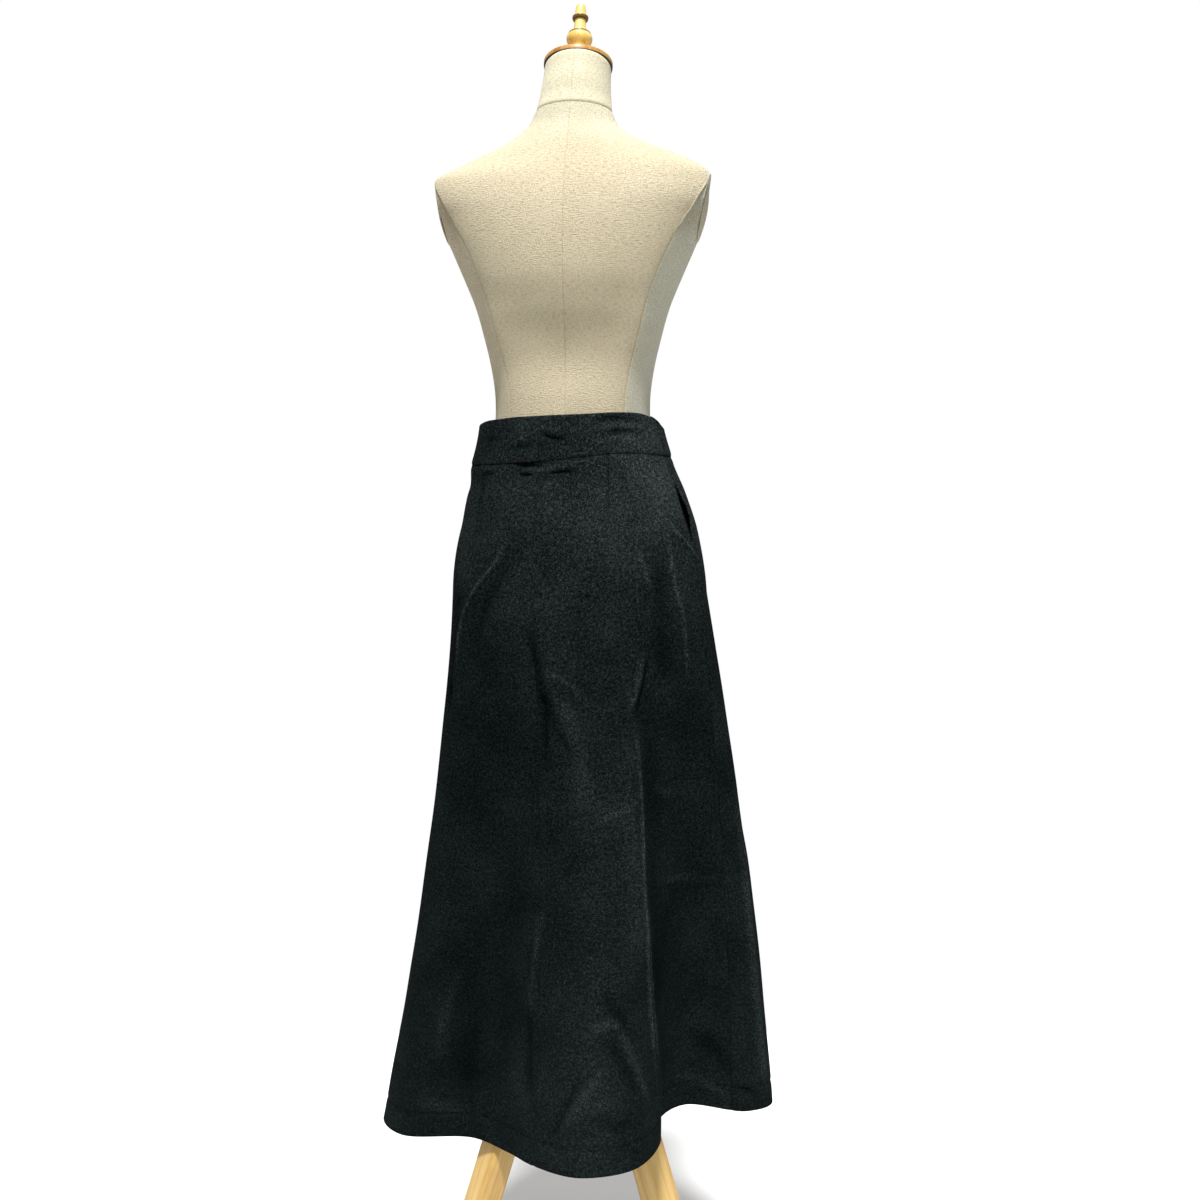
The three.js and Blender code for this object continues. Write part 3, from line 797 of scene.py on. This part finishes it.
lying_creases = (
    # as above, but running across the cloth
    (0.006, 0.002, (-0.11, 0.312), (-0.073, 0.306), (-0.046, 0.277), (-0.009, 0.264), (0.02, 0.268)),
    (0.0034, -0.0012, (-0.1, 0.174), (-0.049, 0.171)),
    (0.0034, -0.0014, (-0.118, 0.255), (-0.08, 0.254)),
    (0.004, 0.0018, (-0.2, 0.428), (-0.178, 0.425), (-0.155, 0.418)),
    (0.005, 0.0013, (-0.285, 0.55), (-0.2, 0.541), (-0.132, 0.534)),
    (0.005, 0.0014, (-0.15, 0.412), (-0.09, 0.44), (-0.04, 0.452)),
    (0.019, -0.0056, (-0.268, 0.812), (-0.24, 0.776), (-0.214, 0.764)),
    (0.009, 0.0028, (-0.262, 0.836), (-0.24, 0.822), (-0.205, 0.812)),
    (0.0034, -0.0022, (-0.29, 0.838), (-0.27, 0.825)),
    (0.024, -0.004, (0.07, 0.788), (0.105, 0.8), (0.15, 0.796)),
    (0.009, 0.0026, (0.08, 0.836), (0.12, 0.842), (0.155, 0.836)),
    (0.0032, 0.0028, (-0.203, 0.07), (-0.235, 0.104), (-0.285, 0.138)),
    (0.0034, -0.003, (-0.02, 0.004), (0.012, 0.0045), (0.046, 0.0035)),
    (0.0028, -0.0022, (0.004, 0.0145), (0.02, 0.0152), (0.036, 0.0135)),
    (0.003, -0.0024, (-0.072, 0.0168), (-0.044, 0.015), (-0.018, 0.0158)),
    (0.0028, 0.0012, (-0.064, 0.009), (0.0, 0.01), (0.04, 0.009)),
    (0.0034, -0.0016, (0.082, 0.012), (0.118, 0.013)),
    (0.005, 0.0014, (-0.05, 0.036), (-0.015, 0.03), (0.01, 0.034)),
    (0.006, 0.0026, (-0.092, 0.7), (-0.079, 0.692), (-0.058, 0.702)),
    (0.008, -0.0024, (-0.115, 0.812), (-0.08, 0.818), (-0.055, 0.8)),
    (0.006, -0.0014, (0.33, 0.165), (0.4, 0.172), (0.44, 0.16)),
    (0.006, -0.0014, (0.54, 0.18), (0.59, 0.19), (0.64, 0.176)),
    (0.005, 0.0014, (0.35, 0.52), (0.45, 0.545), (0.54, 0.538)),
    (0.014, -0.006, (0.405, 0.8), (0.44, 0.815), (0.47, 0.806)),
    (0.014, -0.006, (0.61, 0.79), (0.635, 0.8), (0.655, 0.792)),
    (0.004, -0.0016, (0.455, 0.016), (0.5, 0.014), (0.56, 0.018)),
)
# painted light: paler over the seat, which faces up into the key light, and darker down the fall
nap_fall = ((0.0, 0.90), (0.09, 0.88), (0.22, 0.62), (0.40, 0.52), (0.90, 0.50))
nap_patches = (
    # share of the girth, drop, half width and half height of a patch, and how much paler it is painted, as
    # painted light and shade and as uneven nap
    (0.800, 0.035, 0.065, 0.070, 0.55),
    (0.850, -0.030, 0.080, 0.030, 0.12),
    (0.060, -0.030, 0.090, 0.030, -0.26),
    (0.930, 0.100, 0.100, 0.090, 0.10),
    (0.935, 0.560, 0.045, 0.180, 0.18),
    (0.950, 0.790, 0.060, 0.080, 0.38),
    (0.751, 0.790, 0.050, 0.060, 0.07),
    (0.022, 0.800, 0.022, 0.034, 0.34),
    (0.045, 0.060, 0.060, 0.070, -0.18),
    (0.088, 0.310, 0.080, 0.140, -0.20),
    (0.110, 0.660, 0.090, 0.180, -0.12),
    (0.775, 0.300, 0.050, 0.110, -0.14),
    (0.820, 0.620, 0.045, 0.160, -0.10),
    (0.330, 0.620, 0.050, 0.200, -0.12),
    (0.400, 0.480, 0.045, 0.180, 0.18),
    (0.550, 0.560, 0.050, 0.240, 0.20),
    (0.610, 0.480, 0.050, 0.180, -0.12),
    (0.520, 0.070, 0.100, 0.080, 0.14),
    (0.680, 0.720, 0.050, 0.120, 0.14),
)


def stand_off(height):
    """Clearance of the outer face from the form, level at each row of the table."""
    table = np.array(stand_off_rows)
    k = np.clip(np.searchsorted(table[:, 0], height, side="right") - 1, 0, len(table) - 2)
    share = smooth_step(height, table[k, 0], table[k + 1, 0])
    return [column[k] + (column[k + 1] - column[k]) * share for column in table.T[1:]]


def seat_points(turn, height):
    """The outer face of cloth that follows the form, by bearing from straight back towards the left."""
    half_width, behind, before = columns_of(form_rows, height)[:3]
    left, right, back, front = stand_off(height)
    sideways, backwards = np.sin(turn), np.cos(turn)
    x = (half_width + np.where(sideways > 0, left, right)) * sideways
    y = np.where(backwards > 0, behind + back, before + front) * backwards
    return np.stack((x, y, height), -1)


folds = np.array(hem_folds)
hem_loop = np.concatenate((folds[-3:], folds, folds[:3]))
hem_knots = np.concatenate(([0], np.cumsum(np.linalg.norm(np.diff(hem_loop, axis=0), axis=1) ** 0.5)))
hem_at = np.linspace(hem_knots[3], hem_knots[-3], hem_steps)
hem_line = np.stack([curve_through(hem_at, hem_knots, column) for column in hem_loop.T], -1)
hem_share = lengths_along(hem_line) / lengths_along(hem_line)[-1]

hip_turns = back_seam_bearing + np.linspace(0, 2 * math.pi, girth_steps)
hip_line = seat_points(hip_turns, np.full(girth_steps, hip_height))
hip_share = lengths_along(hip_line) / lengths_along(hip_line)[-1]


def bearing_at(girth):
    """Bearing at a share of the girth, which is counted from the back seam round the wearer's left."""
    return np.interp(girth % 1, hip_share, hip_turns)


def shorter_way(girth):
    """A share of the girth taken the shorter way round."""
    return (girth + 0.5) % 1 - 0.5


def seam_bow(turn):
    """How far the waist seam bows up right of the back."""
    return waist_bow * np.exp(waist_bow_tightness * (np.cos(turn - waist_bow_bearing) - 1))


def seam_height(turn):
    """Height of the waist seam, which is tilted up towards the wearer's right."""
    waist_half_width = columns_of(form_rows, np.array([waist_height]))[0]
    return waist_height - waist_tilt * waist_half_width * np.sin(turn) + seam_bow(turn)


def skirt_points(girth, fall):
    """The outer face by shares of the girth and of the fall from waist seam to hem, without its creases."""
    turn = bearing_at(girth)
    hem = np.stack([np.interp(girth % 1, hem_share, column) for column in hem_line.T], -1)
    height = seam_height(turn) * (1 - fall) + hem[:, 2] * fall
    hang = np.maximum(0, (hip_height - height) / (hip_height - hem[:, 2]))
    flare = hang**flare_power
    seat = seat_points(turn, np.maximum(height, hip_height))
    x = seat[:, 0] * (1 - flare) + hem[:, 0] * flare - sway * 4 * flare * (1 - flare)
    y = seat[:, 1] * (1 - flare) + hem[:, 1] * flare
    return np.stack((x, y, height), -1)


def outward(surface, girth, fall):
    """Outward normals of a surface, and its length across for a whole turn of girth."""
    step = 1e-4
    across = surface(girth + step, fall) - surface(girth - step, fall)
    down = surface(girth, fall + step) - surface(girth, fall - step)
    normal = np.cross(across, down)
    normal /= np.linalg.norm(normal, axis=1)[:, None]
    return normal, np.linalg.norm(across, axis=1) / (2 * step)


def crease_line(place_along, path, fading, run_on):
    """Where a crease lies beside each place along it, and how fully it is formed there."""
    first, last = path[0, 0], path[-1, 0]
    fade = fading * (last - first)
    formed = stretch(place_along, first - run_on, first + fade, last - fade, last + run_on)
    return curve_through(place_along, path[:, 0], path[:, 1]), formed


def crease_marks(girth, drop, reach, falling, lying):
    """How far the listed creases lift the cloth or sink it, and how sharply they do."""
    rise = np.zeros_like(girth)
    sharpness = np.zeros_like(girth)
    creases = [(True, *crease) for crease in falling] + [(False, *crease) for crease in lying]
    for falls, half_width, height, *points in creases:
        path = np.array(points)
        if falls:
            path = path[np.argsort(path[:, 1]), ::-1]
            line, formed = crease_line(drop, path, *falling_ends)
            aside = shorter_way(girth - line) * reach
        else:
            path = path[np.argsort(path[:, 0])]
            middle = path[:, 0].mean()
            line, formed = crease_line(shorter_way(girth - middle) + middle, path, *lying_ends)
            aside = drop - line
        mark = formed * bell(aside, half_width)
        rise += height * mark
        sharpness += height / half_width * mark
    return rise, sharpness


def nap_tone(girth, drop, reach, sharpness):
    """How pale the cloth is painted: painted light over the seat and on sharp ridges, painted shade down the
    fall and in hollows, and patches of painted light, shade and uneven nap.
    """
    tone = np.interp(drop, *np.array(nap_fall).T)
    for middle, height, half_width, half_height, change in nap_patches:
        aside = shorter_way(girth - middle) * reach
        tone += change * bell(aside, half_width) * bell(drop - height, half_height)
    # painted highlight along sharp ridges and painted shade in sharp troughs
    return tone * np.clip(1 + sharpness * np.where(sharpness > 0, 1.8, 1.0), 0.3, 3.0)


def slack(points, size, amount):
    """Gentle unevenness of hanging cloth, the same on both sides of a seam."""
    return np.array([noise.noise(Vector(p) / size) for p in points]) * amount


def spaced(count, crowding):
    """Shares from 0 to 1 that lie closer together towards both ends."""
    even = np.linspace(0, 1, count + 1)
    return even - crowding * np.sin(2 * math.pi * even) / (2 * math.pi)


def at_lines(shares, lines):
    """Looks up each grid point's own line."""
    return lines[np.rint(shares * (len(lines) - 1)).astype(int)]


def cloth_uv(points, columns):
    """Distances over the cloth, across from the middle column and down from the top row."""
    sheet = points.reshape(-1, columns + 1, 3)
    steps = np.linalg.norm(np.diff(sheet, axis=1), axis=2)
    across = np.concatenate((np.zeros((len(sheet), 1)), np.cumsum(steps, axis=1)), axis=1)
    across -= across[:, columns // 2][:, None]
    drops = np.linalg.norm(np.diff(sheet, axis=0), axis=2)
    down = np.concatenate((np.zeros((1, columns + 1)), np.cumsum(drops, axis=0)))
    return across.ravel(), down.ravel()


def thicken(piece, wall):
    """Gives a sheet its thickness, inwards from its outer face."""
    cloth = piece.modifiers.new("cloth", "SOLIDIFY")
    cloth.thickness = wall
    cloth.offset = -1


def felted_wool(name):
    """Milled wool: short matted fibres, rougher at the seat than at the hem, pale lint caught in them, and
    painted light, shade and shadow from the numbers each point keeps.
    """
    material, shader = finish_of(
        name, Roughness=0.95, Specular_IOR_Level=0.01, Sheen_Weight=0.003, Sheen_Roughness=0.5,
        Sheen_Tint=(0.72, 0.86, 0.86, 1),
    )
    cloth = node(material, "UVMap", uv_map="weave").outputs[0]
    fibres = speckle(material, cloth, Scale=820, Detail=4, Roughness=0.72, Distortion=0.7)
    tufts = speckle(material, cloth, Scale=300, Detail=3, Distortion=0.8)
    cloudy = speckle(material, cloth, Scale=13, Detail=4)
    nap = weigh(material, (fibres, 0.60), (tufts, 0.28), (cloudy, 0.12))
    fallen = node(material, "SeparateXYZ", {0: cloth}).outputs[1]
    flattened = {"Value": fallen, "From Min": 0.15, "From Max": 0.75, "To Min": 1.12, "To Max": 0.72}
    coarse = node(material, "MapRange", flattened).outputs[0]
    nap = reckon(material, "MULTIPLY_ADD", reckon(material, "SUBTRACT", nap, 0.5), coarse, 0.5)
    black = ramp(
        material, nap,
        (0.38, (0.0004, 0.0016, 0.0018)), (0.50, (0.0086, 0.0128, 0.0128)), (0.62, (0.0620, 0.0740, 0.0740)),
    )
    # painted light and shade, read from the tone each point keeps; the darker painted tones are also tinted
    # cooler
    rubbed = noted(material, "nap_tone")
    toned = node(material, "VectorMath", {0: black, "Scale": rubbed}, operation="SCALE").outputs[0]
    cool = ramp(material, rubbed, (0.35, (0.86, 1.0, 1.0)), (0.95, (1.0, 0.98, 0.98)))
    colour = tint(material, toned, cool)
    for cells, radius, picked, lint in ((34, 0.022, 0.94, 0.42), (95, 0.045, 0.86, 0.075)):
        spots = node(material, "TexVoronoi", {"Vector": cloth, "Scale": cells})
        near = reckon(material, "LESS_THAN", spots.outputs["Distance"], radius)
        pick = node(material, "SeparateColor", {0: spots.outputs["Color"]}).outputs[0]
        here = reckon(material, "MULTIPLY", near, reckon(material, "GREATER_THAN", pick, picked))
        colour = mix(material, here, colour, (lint, lint, lint * 0.95, 1))
    # darker along the panel seams and the hem's stitching, with a painted shadow at the waist seam
    shut = ramp(material, noted(material, "seam"), (0.0, 0.30), (0.8, 1.0))
    bumps = relief(material, nap, 0.9, 0.0026)
    feed(material, shader, Base_Color=tint(material, colour, shut), Normal=bumps)
    return material


black_wool = felted_wool("black_wool")


def gape_at(drop):
    """Share of the pocket slit's gape, full in the middle of the opening."""
    along = np.clip((drop - pocket_top) / pocket_opening, 0, 1)
    return np.sin(math.pi * along) ** 2


def skirt_panel(name, node_name, start, end, columns):
    """One panel from the waist seam down, round the folded hem and up inside it."""
    fold = np.linspace(0, math.pi, 7)[1:]
    face = spaced(panel_rows, row_crowding)
    turn_up = np.linspace(0, 1, 8)[1:]
    falls = np.concatenate((face, np.ones(len(fold)), 1 - turn_up * hem_turn_up / skirt_fall))
    inwards = hem_fold_radius * np.concatenate((0 * face, 1 - np.cos(fold), 2 + 0 * turn_up))
    below = hem_fold_radius * np.concatenate((0 * face, np.sin(fold), 0 * turn_up))

    bm, across, down = grid(columns, len(falls) - 1)
    girth = start + (end - start) * at_lines(across, spaced(columns, column_crowding))
    fall = at_lines(down, falls)
    normal, reach = outward(skirt_points, girth, fall)
    drop = seam_height(bearing_at(girth)) - skirt_points(girth, fall)[:, 2]
    to_edge = np.minimum(girth - start, end - girth) * reach

    slit = gape_at(drop) * (right_seam in (start, end))
    before_slit = end == right_seam
    to_slit = np.abs(girth - right_seam) * reach
    opening = slit * np.exp(-to_slit / pocket_gape_reach)
    girth = girth + (-1 if before_slit else 1) * pocket_gape / 2 * opening / reach
    lift = slit * bell(to_slit, pocket_lift_reach) * (pocket_lift if before_slit else -pocket_sink)

    girth = np.clip(girth, start + seam_gap / 2 / reach, end - seam_gap / 2 / reach)
    points = skirt_points(girth, fall)
    to_stitches = (1 - fall) * skirt_fall - hem_turn_up
    rise, sharpness = crease_marks(girth, drop, reach, falling_creases, lying_creases)
    rise += slack(points, *panel_slack) + lift
    rise -= seam_roll * bell(to_edge, seam_roll_half) * (1 - slit_flatness * slit)
    rise -= seam_roll * bell(drop, waist_roll_half)
    rise -= hem_stitch_sink * bell(to_stitches, hem_stitch_half)
    off_form = np.minimum.reduce(stand_off(points[:, 2])) - cloth_wall - form_clearance
    over_form = points[:, 2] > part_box("form_body")[0].z
    rise = np.where(over_form, np.maximum(rise, -np.maximum(off_form, 0)), rise)
    points = points + normal * (rise - at_lines(down, inwards))[:, None]
    points[:, 2] -= at_lines(down, below) + seam_gap / 2 * (fall == 0)
    place(bm, points)
    lay_weave(bm, *cloth_uv(points, columns))
    # painted shadow: a dark line just under the waist seam; the panel edges darken as seams
    shut = np.minimum(drop / (waist_tone + slack(points, *waist_waver)), 0.5 + to_edge / edge_tone)
    stitched = np.abs(to_stitches) / hem_stitch_tone + hem_stitch_pale + slack(points, *hem_waver)
    note(
        bm,
        seam=np.clip(np.minimum(shut, stitched), 0, 1),
        nap_tone=nap_tone(girth, drop, reach, sharpness),
    )
    bmesh.ops.reverse_faces(bm, faces=bm.faces)
    panel = add_piece(bm, name, black_wool, "wool", node_name)
    thicken(panel, cloth_wall)


skirt_panel("back_left_panel", "skirt_back_left", 0, left_seam, 160)
skirt_panel("front_panel", "skirt_front", left_seam, right_seam, 172)
skirt_panel("back_right_panel", "skirt_back_right", right_seam, 1, 160)


# Waistband: a front and two back pieces of the same wool, each folded double along the top edge.
# The raw edges are caught in the waist seam, and the band is a little fuller than the waist it stands round.
band_height = 0.057
band_left_dip = 0.1
band_right_dip = 0.38
band_layer = 0.0016
band_fold_radius = 0.0020
band_inner_end = 0.985
band_root_sink = 0.0012
band_root_half = 0.0030
# reach of the painted shadow along the band's foot at the waist seam
band_root_tone = 0.0026
band_crowding = 0.6
band_slack = (0.05, 0.0012)
band_root_waver = (0.012, 0.002)
band_top_wander = (0.035, 0.0011)
band_falling_creases = (
    # as for the skirt
    (0.0012, -0.0007, (0.002, -0.02), (0.001, -0.012), (0.002, 0.0)),
    (0.006, 0.0011, (0.04, -0.05), (0.034, -0.04), (0.036, -0.026)),
    (0.007, 0.0012, (0.365, -0.048), (0.372, -0.03), (0.37, -0.01)),
    (0.006, -0.0011, (0.64, -0.046), (0.634, -0.028), (0.637, -0.008)),
)
band_lying_creases = (
    # as for the skirt
    (0.0024, -0.0022, (-0.052, -0.024), (-0.028, -0.027), (0.0, -0.035)),
    (0.0046, 0.0012, (-0.05, -0.033), (-0.026, -0.037), (0.004, -0.043)),
    (0.005, -0.0022, (0.0, -0.019), (0.026, -0.02), (0.06, -0.0175)),
    (0.004, -0.0012, (0.07, -0.03), (0.11, -0.032), (0.15, -0.031)),
    (0.0042, -0.0018, (-0.205, -0.041), (-0.15, -0.0435), (-0.09, -0.04)),
    (0.0036, 0.001, (-0.222, -0.033), (-0.15, -0.0345), (-0.084, -0.0315)),
    (0.004, -0.0015, (-0.235, -0.025), (-0.175, -0.0265), (-0.105, -0.0235)),
    (0.0034, 0.001, (-0.215, -0.017), (-0.15, -0.018), (-0.09, -0.015)),
    (0.0036, -0.0014, (0.3, -0.03), (0.37, -0.0325), (0.43, -0.031)),
    (0.0034, -0.0016, (0.44, -0.02), (0.5, -0.0225), (0.56, -0.0215)),
    (0.0036, -0.0012, (0.56, -0.04), (0.63, -0.0385), (0.69, -0.0395)),
)


def band_points(girth, fall):
    """The band's outer face by shares of the girth and of the way from its top edge to the waist seam."""
    turn = bearing_at(girth)
    sideways = np.sin(turn)
    dip = np.where(sideways > 0, band_left_dip * sideways**8, band_right_dip * sideways**12)
    height = band_height * (1 - dip) - seam_bow(turn)
    return seat_points(turn, seam_height(turn) + height * (1 - fall))


def band_piece(name, node_name, start, end, columns):
    """One stretch of the band, from the seam up its outer face, over the fold and down inside."""
    fold_fall = band_fold_radius / band_height
    roll = np.linspace(0, math.pi, 11)
    outer = np.linspace(1, fold_fall, 34)[:-1]
    inner = np.linspace(fold_fall, band_inner_end, 12)[1:]
    falls = np.concatenate((outer, fold_fall + 0 * roll, inner))
    inwards = band_fold_radius * np.concatenate((0 * outer, 1 - np.cos(roll), 2 + 0 * inner))
    above = band_fold_radius * np.concatenate((0 * outer, np.sin(roll), 0 * inner))
    facing = np.concatenate((1 + 0 * outer, np.cos(roll / 2), 0 * inner))

    bm, across, up = grid(columns, len(falls) - 1)
    girth = start + (end - start) * at_lines(across, spaced(columns, band_crowding))
    fall = at_lines(up, falls)
    normal, reach = outward(band_points, girth, fall)
    girth = np.clip(girth, start + seam_gap / 2 / reach, end - seam_gap / 2 / reach)
    normal[:, 2] = 0
    normal /= np.linalg.norm(normal, axis=1)[:, None]
    points = band_points(girth, fall)
    drop = seam_height(bearing_at(girth)) - points[:, 2]
    to_edge = np.minimum(girth - start, end - girth) * reach

    rise, sharpness = crease_marks(girth, drop, reach, band_falling_creases, band_lying_creases)
    rise += slack(points, *band_slack)
    rise -= seam_roll * bell(to_edge, seam_roll_half)
    rise -= band_root_sink * bell(drop, band_root_half)
    points = points + normal * (rise * at_lines(up, facing) - at_lines(up, inwards))[:, None]
    wander = slack(points * (1, 1, 0), *band_top_wander) * (1 - fall)
    points[:, 2] += at_lines(up, above) + wander + seam_gap / 2 * (fall == 1)
    place(bm, points)
    lay_weave(bm, *cloth_uv(points, columns))
    # painted shadow: a dark line along the band's foot at the waist seam; its ends darken as seams
    shut = np.minimum(-drop / (band_root_tone + slack(points, *band_root_waver)), 0.5 + to_edge / edge_tone)
    note(bm, seam=np.clip(shut, 0, 1), nap_tone=nap_tone(girth, drop, reach, sharpness))
    band = add_piece(bm, name, black_wool, "wool", node_name)
    thicken(band, band_layer)


band_piece("back_left_band", "waistband_back_left", 0, left_seam, 84)
band_piece("front_band", "waistband_front", left_seam, right_seam, 168)
band_piece("back_right_band", "waistband_back_right", right_seam, 1, 84)


# Pocket facing: a doubled strip of the wool behind the slit in the right side seam.
# It is caught in the waist seam's allowance and shows only where the slit stands open.
strip_gap = 0.0007
facing_wall = 0.0013
facing_width = 0.070
facing_length = 0.150
facing_top = 0.007
facing_cover = 0.0024
facing_sag = 0.0010
facing_tone = 0.5
facing_columns = 24


def strip_points(middle, width, across, depth, cover):
    """Points on the inside of the skirt and band, by share across and depth below the waist seam."""
    on_band = depth < 0
    fall = np.where(on_band, 1 + depth / band_height, depth / (waist_height - hem_folds[0][2]))
    points = np.zeros((len(depth), 3))
    normals = np.zeros((len(depth), 3))
    for surface, here in ((band_points, on_band), (skirt_points, ~on_band)):
        if here.any():
            reach = outward(surface, np.full(here.sum(), middle), fall[here])[1]
            girth = middle + (across[here] - 0.5) * width / reach
            normals[here] = outward(surface, girth, fall[here])[0]
            points[here] = surface(girth, fall[here]) - normals[here] * (cover + strip_gap)
    return points, normals


bm, across, down = grid(facing_columns, 60)
depth = facing_top + down * facing_length
points, normals = strip_points(right_seam, facing_width, across, depth, facing_cover)
sag = facing_sag * np.sin(math.pi * across) * np.sin(math.pi * down)
place(bm, points - normals * sag[:, None])
lay_weave(bm, *cloth_uv(points, facing_columns))
note(bm, seam=1.0, nap_tone=facing_tone)
bmesh.ops.reverse_faces(bm, faces=bm.faces)
facing = add_piece(bm, "pocket_facing", black_wool, "wool", "pocket_right")
thicken(facing, facing_wall)


# Back zip: a woven black tape with a fine coil, sewn in behind the closed centre back seam.
# It runs from just under the band's top edge down over the hip, and nothing of it shows outside.
zip_width = 0.024
zip_length = 0.190
zip_top = 0.006 - band_height
zip_cover = 0.004
tape_wall = 0.0007
tape_columns = 12
coil_pitch = 0.0016
coil_tooth = 0.62
coil_width = 0.0042
coil_rise = 0.0009
coil_slant = 0.2


def woven_tape(name):
    """Close herringbone tape in dull black."""
    material, shader = finish_of(name, Specular_IOR_Level=0.25)
    cloth = node(material, "UVMap", uv_map="weave").outputs[0]
    rows = {"Vector": cloth, "Scale": 420, "Distortion": 1.2, "Detail": 1}
    threads = node(material, "TexWave", rows, wave_type="BANDS", bands_direction="DIAGONAL").outputs["Fac"]
    colour = ramp(material, threads, (0.2, (0.006, 0.006, 0.007)), (0.8, (0.016, 0.016, 0.018)))
    rough = ramp(material, threads, (0.2, 0.85), (0.8, 0.70))
    bumps = relief(material, threads, 0.4, 0.0004)
    feed(material, shader, Base_Color=colour, Roughness=rough, Normal=bumps)
    return material


black_tape = woven_tape("black_tape")
bm, across, down = grid(tape_columns, 95)
points = strip_points(0, zip_width, across, zip_top + down * zip_length, zip_cover)[0]
place(bm, points)
lay_weave(bm, *cloth_uv(points, tape_columns))
bmesh.ops.reverse_faces(bm, faces=bm.faces)
tape = add_piece(bm, "zip_tape", black_tape, "zip_tape", "back_zip")
thicken(tape, tape_wall)

count = int(zip_length / coil_pitch) - 2
depth = zip_top + coil_pitch * (1 + np.arange(count))
middles, normals = strip_points(0, zip_width, np.full(count, 0.5), depth, zip_cover + tape_wall)
tooth = Matrix.Rotation(coil_slant, 4, "Z")
tooth = tooth @ Matrix.Diagonal((coil_width, coil_pitch * coil_tooth, coil_rise, 1))
bm = bmesh.new()
for middle, normal in zip(middles, normals):
    inwards = Vector(-normal)
    sideways = Vector((0, 0, 1)).cross(inwards).normalized()
    seat = Matrix.Translation(Vector(middle) + inwards * coil_rise / 2)
    seat = seat @ Matrix((sideways, sideways.cross(inwards), inwards)).transposed().to_4x4()
    bmesh.ops.create_cube(bm, size=1, matrix=seat @ tooth)
bmesh.ops.recalc_face_normals(bm, faces=bm.faces)
lay_weave(bm, [v.co.x for v in bm.verts], [v.co.z for v in bm.verts])
coil = add_piece(bm, "zip_coil", black_tape, "zip_tape")


# Setting: a plain pale floor, a high soft key light from behind the camera and weak fills round the form.
# The camera stands where the photograph was taken from, at about waist height behind the form.
floor_radius = 1.1
room_light = 0.34
lamps = (
    # name, bearing from straight back towards the left, elevation, strength, softness in degrees
    ("key", -3, 71, 4.8, 7),
    ("fill_left", 105, 30, 0.10, 60),
    ("fill_right", -80, 25, 0.30, 60),
    ("fill_front", 180, 45, 0.8, 40),
)
photo_side = 1200
focal_pixels = 1771
aim_pixels = 27
camera_bearing = math.radians(-7)
camera_distance = 2.300
camera_height = 1.120
camera_pitch = math.radians(4.84)
film_width = 36

bm = bmesh.new()
bmesh.ops.create_circle(bm, cap_ends=True, radius=floor_radius, segments=96)
floor_mesh = bpy.data.meshes.new("floor")
bm.to_mesh(floor_mesh)
bm.free()
floor = bpy.data.objects.new("floor", floor_mesh)
bpy.context.scene.collection.objects.link(floor)
pale = finish_of("pale_floor", Base_Color=(0.86, 0.86, 0.85, 1), Roughness=0.9, Specular_IOR_Level=0.1)[0]
floor_mesh.materials.append(pale)

for name, bearing_degrees, elevation, strength, softness in lamps:
    light = bpy.data.lights.new(name, "SUN")
    light.energy = strength
    light.angle = math.radians(softness)
    lamp = bpy.data.objects.new(name, light)
    bearing, lifted = math.radians(bearing_degrees), math.radians(elevation)
    towards = Vector((
        math.sin(bearing) * math.cos(lifted), math.cos(bearing) * math.cos(lifted), math.sin(lifted),
    ))
    lamp.rotation_euler = towards.to_track_quat("Z", "Y").to_euler()
    bpy.context.scene.collection.objects.link(lamp)

world = bpy.data.worlds.new("pale_room")
bpy.context.scene.world = world
world.use_nodes = True
glow = world.node_tree.nodes["Background"]
glow.inputs["Color"].default_value = (1, 1, 1, 1)
seen = world.node_tree.nodes.new("ShaderNodeLightPath").outputs["Is Camera Ray"]
level = world.node_tree.nodes.new("ShaderNodeMapRange")
level.inputs["To Min"].default_value = room_light
level.inputs["To Max"].default_value = 1.0
world.node_tree.links.new(seen, level.inputs["Value"])
world.node_tree.links.new(level.outputs["Result"], glow.inputs["Strength"])
bpy.context.scene.view_settings.view_transform = "Standard"

camera_yaw = math.atan(aim_pixels / focal_pixels)
camera_data = bpy.data.cameras.new("camera")
camera_data.sensor_width = film_width
camera_data.lens = film_width * focal_pixels / photo_side
camera = bpy.data.objects.new("camera", camera_data)
camera.location = (
    math.sin(camera_bearing) * camera_distance, math.cos(camera_bearing) * camera_distance, camera_height,
)
camera.rotation_euler = (math.pi / 2 - camera_pitch, 0, math.pi - camera_bearing - camera_yaw)
bpy.context.scene.collection.objects.link(camera)
bpy.context.scene.camera = camera
